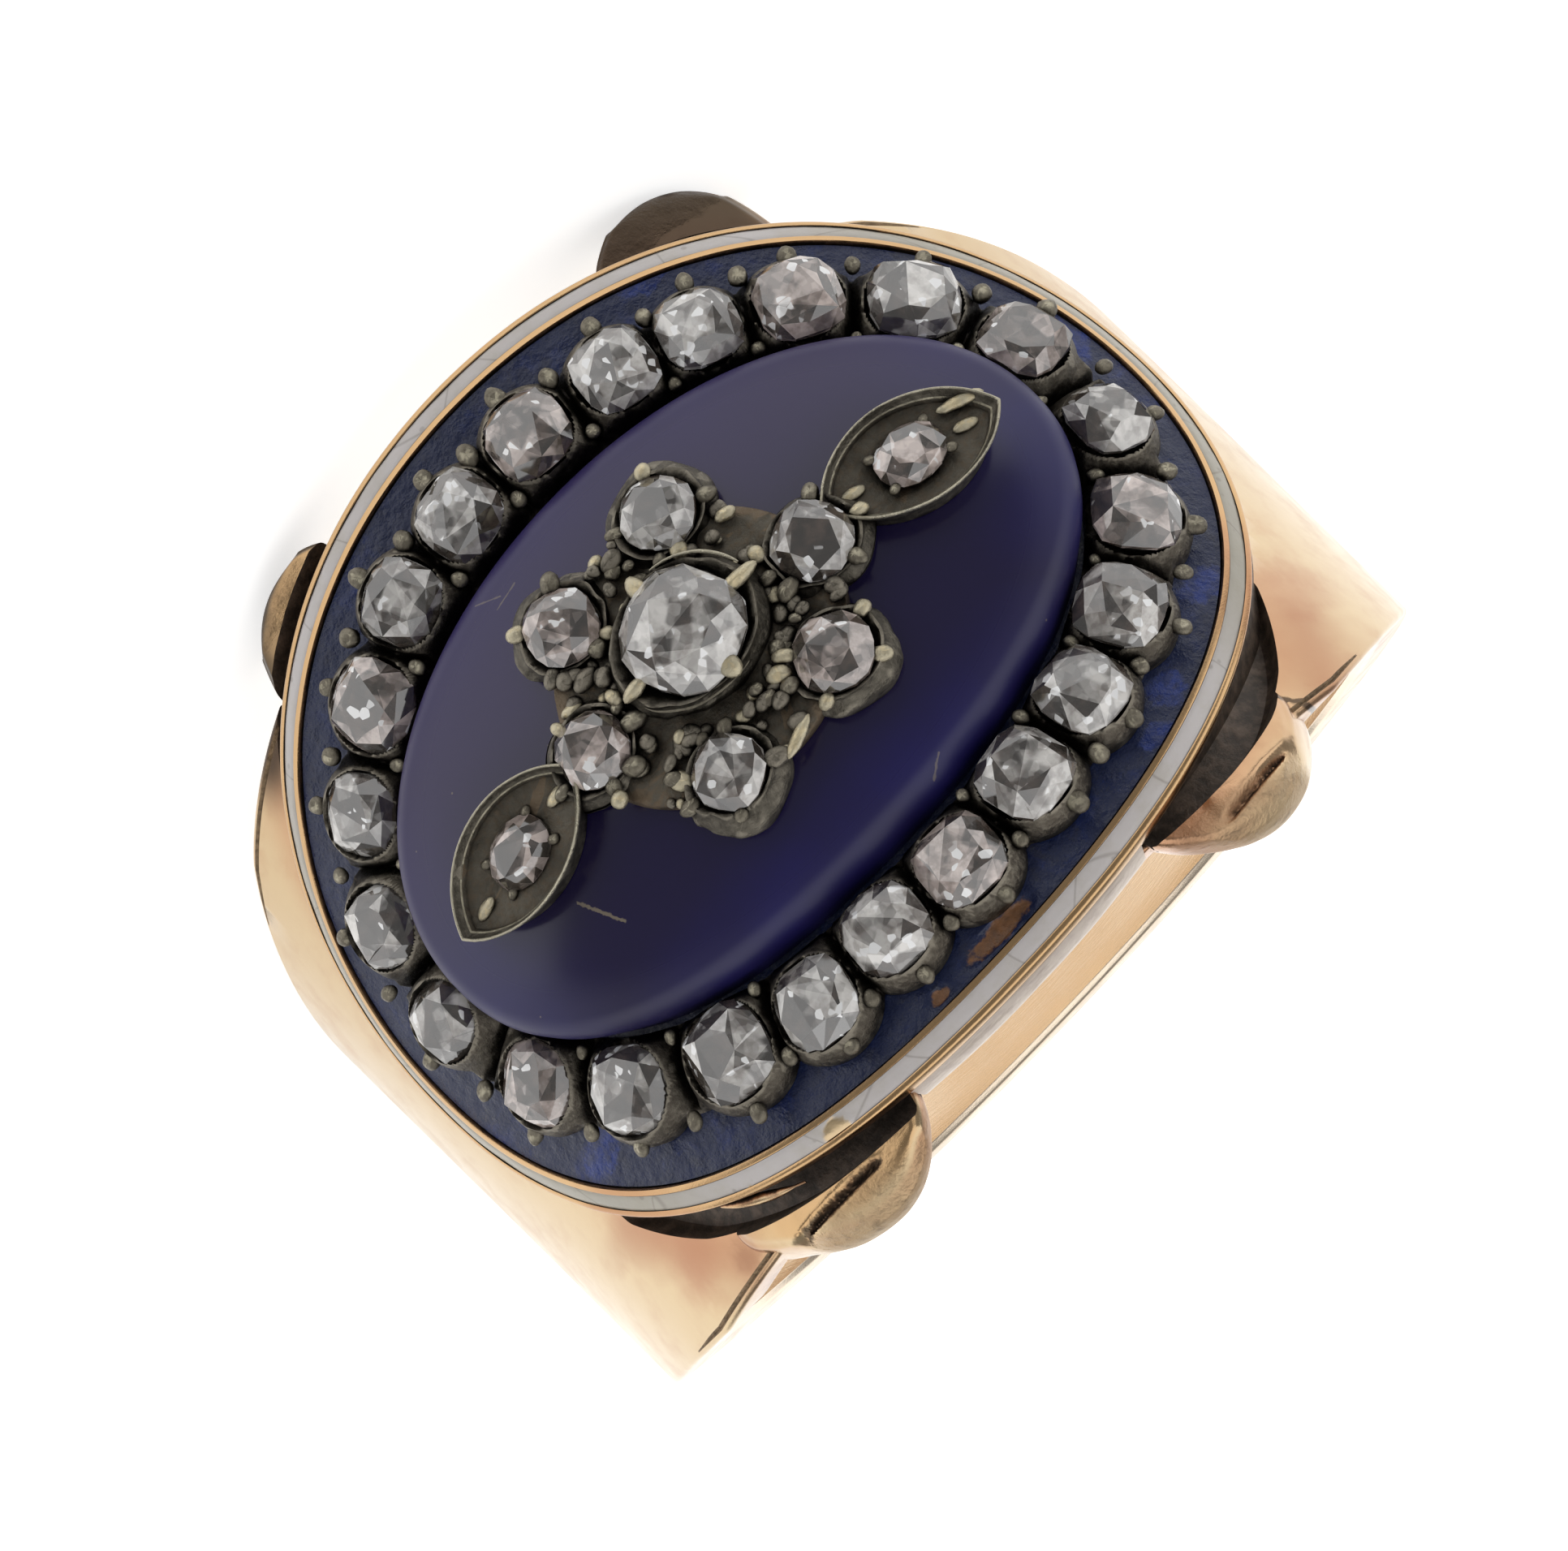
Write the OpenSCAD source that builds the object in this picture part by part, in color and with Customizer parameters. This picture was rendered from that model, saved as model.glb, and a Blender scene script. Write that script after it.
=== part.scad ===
// A gold finger ring with a bent oval head of blue and white enamel, a border of
// small diamonds and a diamond flower on a domed plaque. It lies on its side.
// Every module draws in the ring's own frame: X along the head, Y along the finger,
// Z out through the head, with the middle of the finger hole at the origin.

/* [Finger hoop] */
// Radius of the finger hole
bore_r = 9.0; // [8.5:0.05:9.5]
// Thickness of the hoop's wall
wall_t = 1.15; // [1:0.05:1.3]
// Shift of the hoop along the finger, from the middle of the head
hoop_across = 0.2; // [0:0.05:0.3]
// Width of the hoop under the head
front_w = 16.0; // [15.6:0.1:16.2]
// Width of the hoop at its shoulders
shoulder_w = 13.7; // [13:0.1:14.2]
// Height of the shoulders above the middle of the finger hole
shoulder_z = 5.6; // [5:0.1:6.2]
// Width of the hoop at the back
back_w = 2.6; // [2.4:0.1:3.4]
// How far the hoop's sides bow inwards between the shoulders and the back
side_bow = 0.3; // [0:0.05:0.5]

/* [Ears] */
// Radius of each of the four ears on the edges of the hoop
ear_r = 1.9; // [1.7:0.05:2]
// How far an ear's swollen face stands above the hoop
ear_rise = 0.15; // [0.05:0.05:0.3]
// Place of the crease across each ear, from the middle of the head
crease_y = 7.85; // [7.7:0.05:8]
// Depth of that crease
crease_d = 0.35; // [0.2:0.05:0.5]
// Width of that crease
crease_w = 0.3; // [0.2:0.05:0.4]

/* [Head] */
// How far the head sits off the middle of the hoop
head_shift = -0.55; // [-0.7:0.05:-0.3]
// Height of the rim's crown above the hoop
rim_rise = 0.7; // [0.6:0.05:0.9]
// Radius to which the head is bent over the finger
bend_r = 13.05; // [12.6:0.05:13.6]
// Half length of the enamelled field, measured along the bend
field_l = 10.64; // [10.4:0.02:10.8]
// Half width of the enamelled field
field_w = 7.83; // [7.7:0.01:7.95]
// Fullness of the oval outlines, where 2 is an ellipse
fullness = 2.08; // [2.04:0.02:2.14]
// Height of the gold rim
rim_h = 0.65; // [0.5:0.05:0.65]
// Width of the gold line between the blue and the white enamel
inner_line_w = 0.15; // [0.1:0.01:0.2]
// Width of the white enamel line
white_w = 0.36; // [0.3:0.01:0.42]
// Width of the gold edge outside the white enamel
outer_line_w = 0.11; // [0.1:0.01:0.16]
// Depth of the channel that holds the white enamel
white_d = 0.3; // [0.2:0.05:0.35]
// Thickness of the blue enamel floor
blue_t = 0.3; // [0.2:0.05:0.35]
// How far the blue enamel lies below the rim
blue_sink = 0.08; // [0.04:0.02:0.14]
// How far the wall of the head stands in from the rim
wall_inset = 0.45; // [0.35:0.05:0.5]

/* [Plaque] */
// Shift of the plaque and all stones along the head
field_shift = -0.2; // [-0.3:0.05:0]
// Half length of the plaque, measured along the bend
plaque_l = 7.75; // [7.6:0.05:7.8]
// Half width of the plaque
plaque_w = 4.93; // [4.8:0.01:4.95]
// Height of the edge of the plaque above the rim
plaque_edge_h = 0.85; // [0.7:0.05:0.9]
// Height of the top of the dome above the rim
dome_h = 1.6; // [1.5:0.05:1.6]
// Radius of the dome across the head
dome_r = 16; // [15:0.5:18]

/* [Border stones] */
// Half length of the row of stones, measured along the bend
row_l = 8.8; // [8.8:0.01:8.9]
// Half width of the row of stones
row_w = 6.08; // [6.05:0.01:6.12]
// Place of the first stone along the row, from the end of the row at -X
row_start = -3.1; // [-3.3:0.05:-2.9]
// Height of the silver border above the rim
border_h = 0.5; // [0.48:0.01:0.56]
// Silver left beyond each stone
scallop_edge = 0.28; // [0.24:0.02:0.3]
// Width of the silver band that joins the scallops
band_w = 1.5; // [1.4:0.1:1.7]

/* [Flower] */
// Place of the middle stone along the head, from the middle of the petals
middle_along = -0.15; // [-0.2:0.05:0.1]
// Place of the middle stone along the finger, from the middle of the petals
middle_across = -0.3; // [-0.35:0.05:0.1]
// Width of the middle stone
middle_w = 2.45; // [2.3:0.05:2.5]
// Height of the middle collet above the rim
middle_h = 2.38; // [2.3:0.02:2.5]
// Thickness of the wall of the middle collet
collet_wall = 0.22; // [0.16:0.02:0.24]
// Height of the petal collets above the rim
petal_h = 2.06; // [2.06:0.02:2.2]
// Radius of the metal around each petal stone
petal_r = 1.03; // [0.95:0.01:1.1]
// Radius of the plate behind the petals
web_r = 2.3; // [2.2:0.05:2.5]
// Half length of a leaf
leaf_l = 1.78; // [1.7:0.02:1.84]
// Half width of a leaf
leaf_w = 1.14; // [1.1:0.02:1.2]
// Height of the edge of the leaves above the rim
leaf_h = 2.24; // [2.24:0.02:2.4]
// Depth of the bowl inside a leaf
leaf_bowl = 0.28; // [0.2:0.02:0.3]
// Thickness of a leaf's edge along its sides
leaf_edge = 0.13; // [0.1:0.01:0.16]
// Thickness of a leaf's edge at its tips
leaf_tip = 0.2; // [0.16:0.02:0.26]
// Width of a leaf's stone
leaf_stone_w = 1.2; // [1.1:0.05:1.2]

/* [Hidden] */
$fn = 64;
bend_fn = 240;
outline_points = 64;
circle_points = 16;
// Gap between pieces that are set into each other
gap = 0.03;
// Length of the cuts and blocks that have to pass right through
through = 40;
// How far a cutting outline runs past the solid that it cuts
margin = 0.2;
hoop_r = bore_r + wall_t;
crown_z = hoop_r + rim_rise;
bend_z = crown_z - bend_r;

// The ring lies on its two ears at -Y and on the back of the hoop
rest_tilt = 23.26;
rest_roll = 2.7;
roll_lift = 0.075;
rest_lift = cos(rest_tilt) * (back_w / 2 - hoop_across) + sin(rest_tilt) * hoop_r + roll_lift;
rest_x = 0.01;
rest_y = 1.78;

// Ears. Columns: place along the head and along the finger, from the middle of the head
EARS = [[4.85, 6.8], [-4.85, 6.8], [-5.1, -6.85], [4.65, -6.8]];

// Border stones, from the end at -X and on towards -Y.
// Columns: shift along the row, shift outwards, width
BORDER = [
    [-0.25, -0.05, 1.75], [-0.05, 0, 1.60], [0.25, 0, 1.65], [0.40, 0, 1.80], [0.50, 0, 1.70],
    [0.35, -0.05, 1.60], [0.00, 0, 1.60], [-0.10, 0.05, 1.65], [-0.25, 0, 1.65], [-0.40, 0.10, 1.65],
    [-0.50, -0.05, 1.75], [-0.50, 0, 1.60], [-0.45, 0.10, 1.60], [-0.35, 0, 1.55], [0.05, -0.05, 1.65],
    [0.25, -0.05, 1.75], [0.60, 0, 1.85], [0.55, 0.20, 1.70], [0.35, 0.05, 1.70], [0.10, 0.15, 1.70],
    [0.00, 0, 1.75], [-0.15, 0, 1.70], [-0.30, -0.05, 1.75]
];
SHIFT = 0;
OUT = 1;
WIDE = 2;
stone_count = len(BORDER);

// Petal stones. Columns: angle from +X, distance from the middle stone, width
PETALS = [
    [-5, 2.3, 1.5], [66, 2.4, 1.5], [128, 2.6, 1.6], [178, 2.65, 1.6], [244, 2.75, 1.5], [298, 2.6, 1.5]
];
ANGLE = 0;
AWAY = 1;

// Leaves. Columns: place along and across the head, from the middle of the flower, turn
LEAVES = [[-4.85, 0, -8], [4.45, -0.15, 5]];
LEAF_TURN = 2;

// Room kept around a petal stone, as a share of its width, and how far that room cuts into its collet
petal_room = 0.54;
petal_ledge = 0.05;

// Squareness of the stones' outlines, where 2 is round, and the turn from one stone to the next
border_square = 2.5;
border_turn = 27;
middle_square = 2.4;
middle_turn = 20;
petal_square = 2.2;
petal_turn = 31;

function border_name(i) = str("border_stone_", i < 10 ? "0" : "", i);
function degrees(a) = a * 180 / PI;
function signed_power(v, p) = sign(v) * pow(abs(v), p);
function between(a, b, t) = a + (b - a) * t;

// Half width of the hoop, from t = 0 at the shoulders to t = 1 at the back
function side_half(t) = between(shoulder_w, back_w, t) / 2 - 4 * side_bow * t * (1 - t);
function side_z(t) = between(shoulder_z, -hoop_r, t);

// A point of an oval whose length is measured along the bend
function oval_point(l, w, t) = [l * signed_power(cos(t), 2 / fullness), w * signed_power(sin(t), 2 / fullness)];

// A place on the bent surface at a height above the rim, seen from straight above the head
function from_above(p, height) = [(bend_r + height) * sin(degrees(p.x / bend_r)), p.y];

function flat_oval(l, w, height = 0) =
    [for (k = [0 : outline_points - 1]) from_above(oval_point(l, w, 360 * k / outline_points), height)];

function flat_circle(place, r, height) =
    [for (k = [0 : circle_points - 1])
        let (t = 360 * k / circle_points)
        from_above(place + r * [cos(t), sin(t)], height)];

// Table of distance run along the row of stones against the angle that draws it
row_steps = 180;
row_run = [
    for (k = 0, run = 0; k <= row_steps; k = k + 1, run = run + step_length(k))
        [run, 180 + 360 * k / row_steps]
];
function step_length(k) =
    norm(oval_point(row_l, row_w, 360 * k / row_steps) - oval_point(row_l, row_w, 360 * (k - 1) / row_steps));
row_length = row_run[row_steps][0];
row_pitch = row_length / stone_count;

// Place in the row, measured along the bend and across, and shifted outwards
function row_place(along, out) =
    let (
        run = along < 0 ? along + row_length : along >= row_length ? along - row_length : along,
        t = lookup(run, row_run),
        p = oval_point(row_l, row_w, t),
        away = [cos(t) * row_w, sin(t) * row_l]
    )
    p + out * away / norm(away);
function border_place(i) =
    row_place(row_start + (i - 1) * row_pitch + BORDER[i - 1][SHIFT], BORDER[i - 1][OUT]);

function petal_place(i) =
    PETALS[i - 1][AWAY] * [cos(PETALS[i - 1][ANGLE]), sin(PETALS[i - 1][ANGLE])];

function leaf_place(i) = [LEAVES[i - 1].x, LEAVES[i - 1].y];

module at_rest() {
    translate([rest_x, rest_y, rest_lift]) rotate([90 - rest_tilt, rest_roll, 0]) children();
}

module on_head() {
    at_rest() translate([head_shift, 0, 0]) children();
}

// Stands its children square on the bent head at a place along and across it
module on_bend(place, height) {
    translate([0, 0, bend_z])
        rotate([0, degrees(place.x / bend_r), 0])
            translate([0, place.y, bend_r + height])
                children();
}

// Everything under the bent surface at a height above the rim's crown
module bent_block(height) {
    translate([0, 0, bend_z]) rotate([90, 0, 0])
        cylinder(r = bend_r + height, h = through, center = true, $fn = bend_fn);
}

module bent_plate(outline, bottom, top) {
    difference() {
        intersection() {
            linear_extrude(height = 2 * bend_r) polygon(outline);
            bent_block(top);
        }
        bent_block(bottom);
    }
}

// The domed body over which the plaque is cut: bent along the head, domed across it
module dome_body(grow) {
    reach = bend_r + dome_h + grow;
    translate([0, 0, bend_z]) rotate([90, 0, 0]) rotate_extrude($fn = bend_fn) intersection() {
        translate([reach - dome_r, 0]) circle(dome_r, $fn = bend_fn);
        translate([0, -field_w]) square([2 * reach, 2 * field_w]);
    }
}

module hoop() {
    steps = 14;
    top = [front_w / 2, hoop_r + margin];
    bottom = [back_w / 2, -hoop_r - margin];
    side = [for (k = [0 : steps]) [side_half(k / steps), side_z(k / steps)]];
    half = concat([top], side, [bottom]);
    other = [for (k = [len(half) - 1 : -1 : 0]) [-half[k].x, half[k].y]];
    intersection() {
        rotate([90, 0, 0]) cylinder(r = hoop_r, h = through, center = true);
        translate([0, hoop_across, 0])
            rotate([90, 0, 90]) linear_extrude(height = through, center = true) polygon(concat(half, other));
    }
}

module ear(place) {
    difference() {
        intersection() {
            translate(place) cylinder(r = ear_r, h = crown_z);
            translate([-head_shift, 0, 0]) rotate([90, 0, 0])
                cylinder(r = hoop_r + ear_rise, h = through, center = true);
        }
        difference() {
            translate([place.x, sign(place.y) * crease_y, crown_z / 2])
                cube([3 * ear_r, crease_w, crown_z], center = true);
            translate([-head_shift, 0, 0]) rotate([90, 0, 0])
                cylinder(r = hoop_r - crease_d, h = through, center = true);
        }
    }
}

module gold_mount() {
    rim_l = field_l + inner_line_w + white_w + outer_line_w;
    rim_w = field_w + inner_line_w + white_w + outer_line_w;
    white_out_l = rim_l - outer_line_w;
    white_out_w = rim_w - outer_line_w;
    white_in_l = field_l + inner_line_w;
    white_in_w = field_w + inner_line_w;
    color([0.93, 0.76, 0.50]) at_rest() difference() {
        union() {
            hoop();
            translate([head_shift, 0, 0]) {
                for (place = EARS) ear(place);
                intersection() {
                    linear_extrude(height = crown_z) polygon(flat_oval(rim_l - wall_inset, rim_w - wall_inset));
                    bent_block(-rim_h / 2);
                }
                bent_plate(flat_oval(rim_l, rim_w), -rim_h, 0);
            }
        }
        rotate([90, 0, 0]) cylinder(r = bore_r, h = through, center = true);
        translate([head_shift, 0, 0]) {
            bent_plate(flat_oval(field_l, field_w), -blue_sink - blue_t - gap, 1);
            difference() {
                bent_plate(flat_oval(white_out_l, white_out_w), -white_d, 1);
                linear_extrude(height = 2 * bend_r) polygon(flat_oval(white_in_l, white_in_w));
            }
        }
    }
}

module white_enamel() {
    in_l = field_l + inner_line_w + gap;
    in_w = field_w + inner_line_w + gap;
    color([0.80, 0.79, 0.77]) on_head() difference() {
        bent_plate(flat_oval(in_l + white_w - 2 * gap, in_w + white_w - 2 * gap), gap - white_d, -gap);
        linear_extrude(height = 2 * bend_r) polygon(flat_oval(in_l, in_w));
    }
}

module blue_enamel() {
    color([0.05, 0.10, 0.33]) on_head()
        bent_plate(flat_oval(field_l - gap, field_w - gap), -blue_sink - blue_t, -blue_sink);
}

module plaque() {
    color([0.09, 0.07, 0.30]) on_head() difference() {
        intersection() {
            translate([field_shift, 0, 0])
                linear_extrude(height = 2 * bend_r) polygon(flat_oval(plaque_l, plaque_w, plaque_edge_h));
            dome_body(0);
        }
        bent_block(gap - blue_sink);
    }
}

// Cone cut for the lower half of a stone of a given width, running out above the metal
module seat(w) {
    mouth_r = 0.52 * w;
    depth = 0.40 * w;
    bottom_r = 0.10 * w;
    above = 0.1;
    slope = (mouth_r - bottom_r) / depth;
    translate([0, 0, -depth]) cylinder(r1 = bottom_r, r2 = mouth_r + slope * above, h = depth + above);
}

module border_outline() {
    difference() {
        union() {
            polygon(flat_oval(row_l + band_w / 2, row_w + band_w / 2, border_h));
            for (i = [1 : stone_count])
                polygon(flat_circle(border_place(i), BORDER[i - 1][WIDE] / 2 + scallop_edge, border_h));
        }
        polygon(flat_oval(plaque_l + gap, plaque_w + gap, plaque_edge_h));
    }
}

module border_setting() {
    color([0.30, 0.28, 0.26]) on_head() translate([field_shift, 0, 0]) difference() {
        intersection() {
            linear_extrude(height = 2 * bend_r) border_outline();
            bent_block(border_h);
        }
        for (i = [1 : stone_count]) on_bend(border_place(i), border_h) seat(BORDER[i - 1][WIDE]);
        translate([-field_shift, 0, 0]) bent_block(gap - blue_sink);
    }
}

// Pointed oval made of two arcs
module almond(l, w) {
    arc_r = (l * l + w * w) / (2 * w);
    intersection() {
        translate([0, arc_r - w]) circle(arc_r);
        translate([0, w - arc_r]) circle(arc_r);
    }
}

module flower_setting() {
    color([0.34, 0.32, 0.29]) on_head() translate([field_shift, 0, 0]) difference() {
        union() {
            translate([middle_along, middle_across, 0])
                cylinder(r = middle_w / 2 + collet_wall, h = crown_z + middle_h);
            intersection() {
                linear_extrude(height = 2 * bend_r) union() {
                    circle(web_r);
                    for (i = [1 : len(PETALS)]) polygon(flat_circle(petal_place(i), petal_r, petal_h));
                }
                bent_block(petal_h);
            }
            for (i = [1 : len(LEAVES)])
                on_bend(leaf_place(i), 0) rotate([0, 0, LEAVES[i - 1][LEAF_TURN]])
                    linear_extrude(height = leaf_h) almond(leaf_l, leaf_w);
        }
        for (i = [1 : len(LEAVES)]) on_bend(leaf_place(i), leaf_h - leaf_bowl) {
            rotate([0, 0, LEAVES[i - 1][LEAF_TURN]])
                linear_extrude(height = leaf_bowl + margin) almond(leaf_l - leaf_tip, leaf_w - leaf_edge);
            seat(leaf_stone_w);
        }
        on_bend([middle_along, middle_across], middle_h) seat(middle_w);
        for (i = [1 : len(PETALS)]) {
            on_bend(petal_place(i), petal_h) seat(PETALS[i - 1][WIDE]);
            on_bend(petal_place(i), petal_h - petal_ledge)
                cylinder(r = petal_room * PETALS[i - 1][WIDE], h = petal_ledge + leaf_h - petal_h + margin);
        }
        translate([-field_shift, 0, 0]) dome_body(gap);
    }
}

// An old cushion cut: table, eight stars, eight kites, upper and lower halves, and a culet
module cut_stone(w, turn, square_n) {
    sides = 16;
    table_r = 0.30 * w;
    star_r = 0.39 * w;
    lower_r = 0.26 * w;
    girdle = 0.04 * w;
    star_z = 0.18 * w;
    table_z = 0.28 * w;
    lower_z = -0.15 * w;
    culet_z = -0.27 * w;
    nudge = 1e-6;
    function cushion(r, k) =
        let (a = 360 * k / sides + nudge)
        r / pow(pow(abs(cos(a)), square_n) + pow(abs(sin(a)), square_n), 1 / square_n) * [cos(a), sin(a)];
    function ring(r, z, step, start) = [for (k = [start : step : sides - 1]) concat(cushion(r, k), [z])];
    points = concat(
        ring(table_r, table_z, 2, 1),
        ring(star_r, star_z, 2, 0),
        ring(w / 2, girdle, 1, 0),
        ring(w / 2, 0, 1, 0),
        ring(lower_r, lower_z, 2, 1),
        [[0, 0, culet_z]]
    );
    // Where each ring starts in the list of points: stars, top and bottom of the girdle, lower facets, culet
    s0 = 8;
    t0 = 16;
    l0 = 32;
    f0 = 48;
    c0 = 56;
    faces = concat(
        [[7, 6, 5, 4, 3, 2, 1, 0]],
        [for (k = [0 : 7]) [k, (k + 1) % 8, s0 + (k + 1) % 8]],
        [for (k = [0 : 7]) [k, t0 + 2 * k + 1, s0 + k]],
        [for (k = [0 : 7]) [k, s0 + (k + 1) % 8, t0 + 2 * k + 1]],
        [for (k = [0 : 7]) [s0 + k, t0 + 2 * k + 1, t0 + 2 * k]],
        [for (k = [0 : 7]) [s0 + (k + 1) % 8, t0 + (2 * k + 2) % 16, t0 + 2 * k + 1]],
        [for (k = [0 : 15]) [t0 + k, t0 + (k + 1) % 16, l0 + (k + 1) % 16]],
        [for (k = [0 : 15]) [t0 + k, l0 + (k + 1) % 16, l0 + k]],
        [for (k = [0 : 7]) [l0 + 2 * k, l0 + 2 * k + 1, f0 + k]],
        [for (k = [0 : 7]) [l0 + 2 * k + 1, l0 + (2 * k + 2) % 16, f0 + k]],
        [for (k = [0 : 7]) [l0 + (2 * k + 2) % 16, f0 + (k + 1) % 8, f0 + k]],
        [for (k = [0 : 7]) [f0 + k, f0 + (k + 1) % 8, c0]]
    );
    rotate([0, 0, turn]) polyhedron(points = points, faces = faces);
}

module stone_on(place, height, w, turn, square_n) {
    color([0.86, 0.86, 0.88]) on_head() translate([field_shift, 0, 0])
        on_bend(place, height + gap) cut_stone(w, turn, square_n);
}

gold_mount();
white_enamel();
blue_enamel();
plaque();
border_setting();
flower_setting();
stone_on([middle_along, middle_across], middle_h, middle_w, middle_turn, middle_square);  // middle_stone
for (i = [1 : len(PETALS)]) {
    stone_on(petal_place(i), petal_h, PETALS[i - 1][WIDE], i * petal_turn, petal_square);
}
for (i = [1 : len(LEAVES)]) {
    stone_on(leaf_place(i), leaf_h - leaf_bowl, leaf_stone_w, i * petal_turn, petal_square);
}
for (i = [1 : stone_count]) {
    stone_on(border_place(i), border_h, BORDER[i - 1][WIDE], i * border_turn, border_square);
}
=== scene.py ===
"""An old enamel ring that lies on its side: its metalwork, enamels, stones and a small studio.

Every shape is worked out in the ring's own frame (X along the head, Y along the finger, Z out
through the head) or on the flat head (along, across, height above the rim's crown), which is
then bent over the finger. Lengths are metres.
"""
import math
import random

import bmesh
import bpy
import numpy as np
from mathutils import Euler, Matrix, Vector, noise


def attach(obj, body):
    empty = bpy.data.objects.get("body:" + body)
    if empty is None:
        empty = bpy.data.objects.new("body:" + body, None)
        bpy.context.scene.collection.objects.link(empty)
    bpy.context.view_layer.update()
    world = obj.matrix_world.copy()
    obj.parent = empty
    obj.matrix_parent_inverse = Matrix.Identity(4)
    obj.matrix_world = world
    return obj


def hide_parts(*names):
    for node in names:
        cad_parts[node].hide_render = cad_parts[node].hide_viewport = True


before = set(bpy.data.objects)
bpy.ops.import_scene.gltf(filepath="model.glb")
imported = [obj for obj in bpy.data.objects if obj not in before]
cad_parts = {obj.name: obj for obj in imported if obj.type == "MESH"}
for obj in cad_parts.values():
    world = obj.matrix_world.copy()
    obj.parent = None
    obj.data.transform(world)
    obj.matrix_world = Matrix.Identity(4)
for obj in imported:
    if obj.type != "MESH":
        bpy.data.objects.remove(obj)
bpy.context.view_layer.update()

bl_info = {
    "name": "Enamel ring",
    "version": (1, 0, 0),
    "blender": (4, 5, 0),
    "location": "View3D > Sidebar > Ring",
    "description": "Makes the pieces and finishes of an old enamel ring, and a small studio for it",
    "category": "Object",
}

MM = 0.001
BODY = "root"
# Edges stay sharp above these angles, in degrees
GOLD_CREASE = 38
SILVER_CREASE = 50
# Rounding of the hoop's inside edges, against that of its outside edges
INSIDE_ROUNDING = 2.2
# The seat under a stone, against the stone's width: its radius, its slope and its depth
SEAT_R = 0.52
SEAT_SLOPE = 0.40 / 0.42
SEAT_DEPTH = 0.40
# Room left between the visual model and the floor
FLOOR_ROOM = 0.035 * MM
# Steps along the row of border stones
ROW_STEPS = 1440
# How many loose grains lie between the flower's stones
GRAINS = 84
# Where a ragged spot ends, as a share of its reach
SPOT_EDGE = 1.05
# Finishes of the gold mount, the border and the flower, and the names of their numbers
GOLD_LOOKS = ("worn_gold", "dark_gold", "pale_side", "groove_gold")
WORN, DARK, PALE, GROOVE = range(4)
BORDER_LOOKS = ("tarnished_silver", "bead_silver")
TARNISHED, BORDER_BEAD = range(2)
FLOWER_LOOKS = ("flower_silver", "rim_silver", "bead_silver", "grain_gold", "crevice_silver")
CRUSTED, BRIGHT, BEAD, GRAIN, CREVICE = range(5)


def length(name, description, millimetres):
    """A length property, given in millimetres and kept in metres."""
    return bpy.props.FloatProperty(
        name=name, description=description, default=millimetres * MM, unit="LENGTH", precision=5
    )


def angle(name, description, degrees):
    """An angle property, given in degrees."""
    return bpy.props.FloatProperty(
        name=name, description=description, default=math.radians(degrees), subtype="ANGLE"
    )


def colour(name, description, red, green, blue):
    """A colour property."""
    return bpy.props.FloatVectorProperty(
        name=name, description=description, default=(red, green, blue), size=3, subtype="COLOR", min=0, max=1
    )


def share(name, description, default):
    """A property from 0 to 1."""
    return bpy.props.FloatProperty(
        name=name, description=description, default=default, min=0, max=1, subtype="FACTOR"
    )


class RingHoopSizes(bpy.types.PropertyGroup):
    """Sizes of the finger hoop and its ears, and how the ring lies."""

    bore_r: length("Finger radius", "Radius of the finger hole", 9.0)
    wall_t: length("Wall", "Thickness of the hoop's wall", 1.15)
    across: length("Shift", "Shift of the hoop along the finger, from the middle of the head", 0.2)
    front_w: length("Front width", "Width of the hoop under the head", 16.0)
    shoulder_w: length("Shoulder width", "Width of the hoop at its shoulders", 13.7)
    shoulder_z: length("Shoulder height", "Height of the shoulders above the finger's middle", 5.6)
    back_w: length("Back width", "Width of the hoop at the back", 2.6)
    side_bow: length("Side bow", "How far the sides bow inwards below the shoulders", 0.3)
    edge_r: length("Edge", "Rounding of the hoop's worn edges", 0.13)
    groove_w: length("Groove", "Width of the dark line along the hoop's edges", 0.11)
    ear_rise: length("Ear rise", "How far an ear stands above the hoop", 0.15)
    ear_round: length("Ear rounding", "How far an ear's outer face falls away", 0.3)
    ridge_h: length("Ridge", "Height of the ridge between the recess and an ear's crease", 0.1)
    crease_d: length("Crease depth", "Depth of the crease in each near ear", 0.15)
    recess_d: length("Recess", "Depth of the recess between the head's wall and the hoop", 0.5)
    rest_tilt: angle("Resting tilt", "Tilt of the finger's axis from upright, as the ring lies", 23.26)
    rest_roll: angle("Resting roll", "Turn of the ring about the way that it faces, as it lies", 2.7)
    roll_lift: length("Roll lift", "How much higher the middle lies for that turn", 0.075)
    rest_x: length("Resting place X", "Place of the finger's middle along X", 0.01)
    rest_y: length("Resting place Y", "Place of the finger's middle along Y", 1.78)


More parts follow.
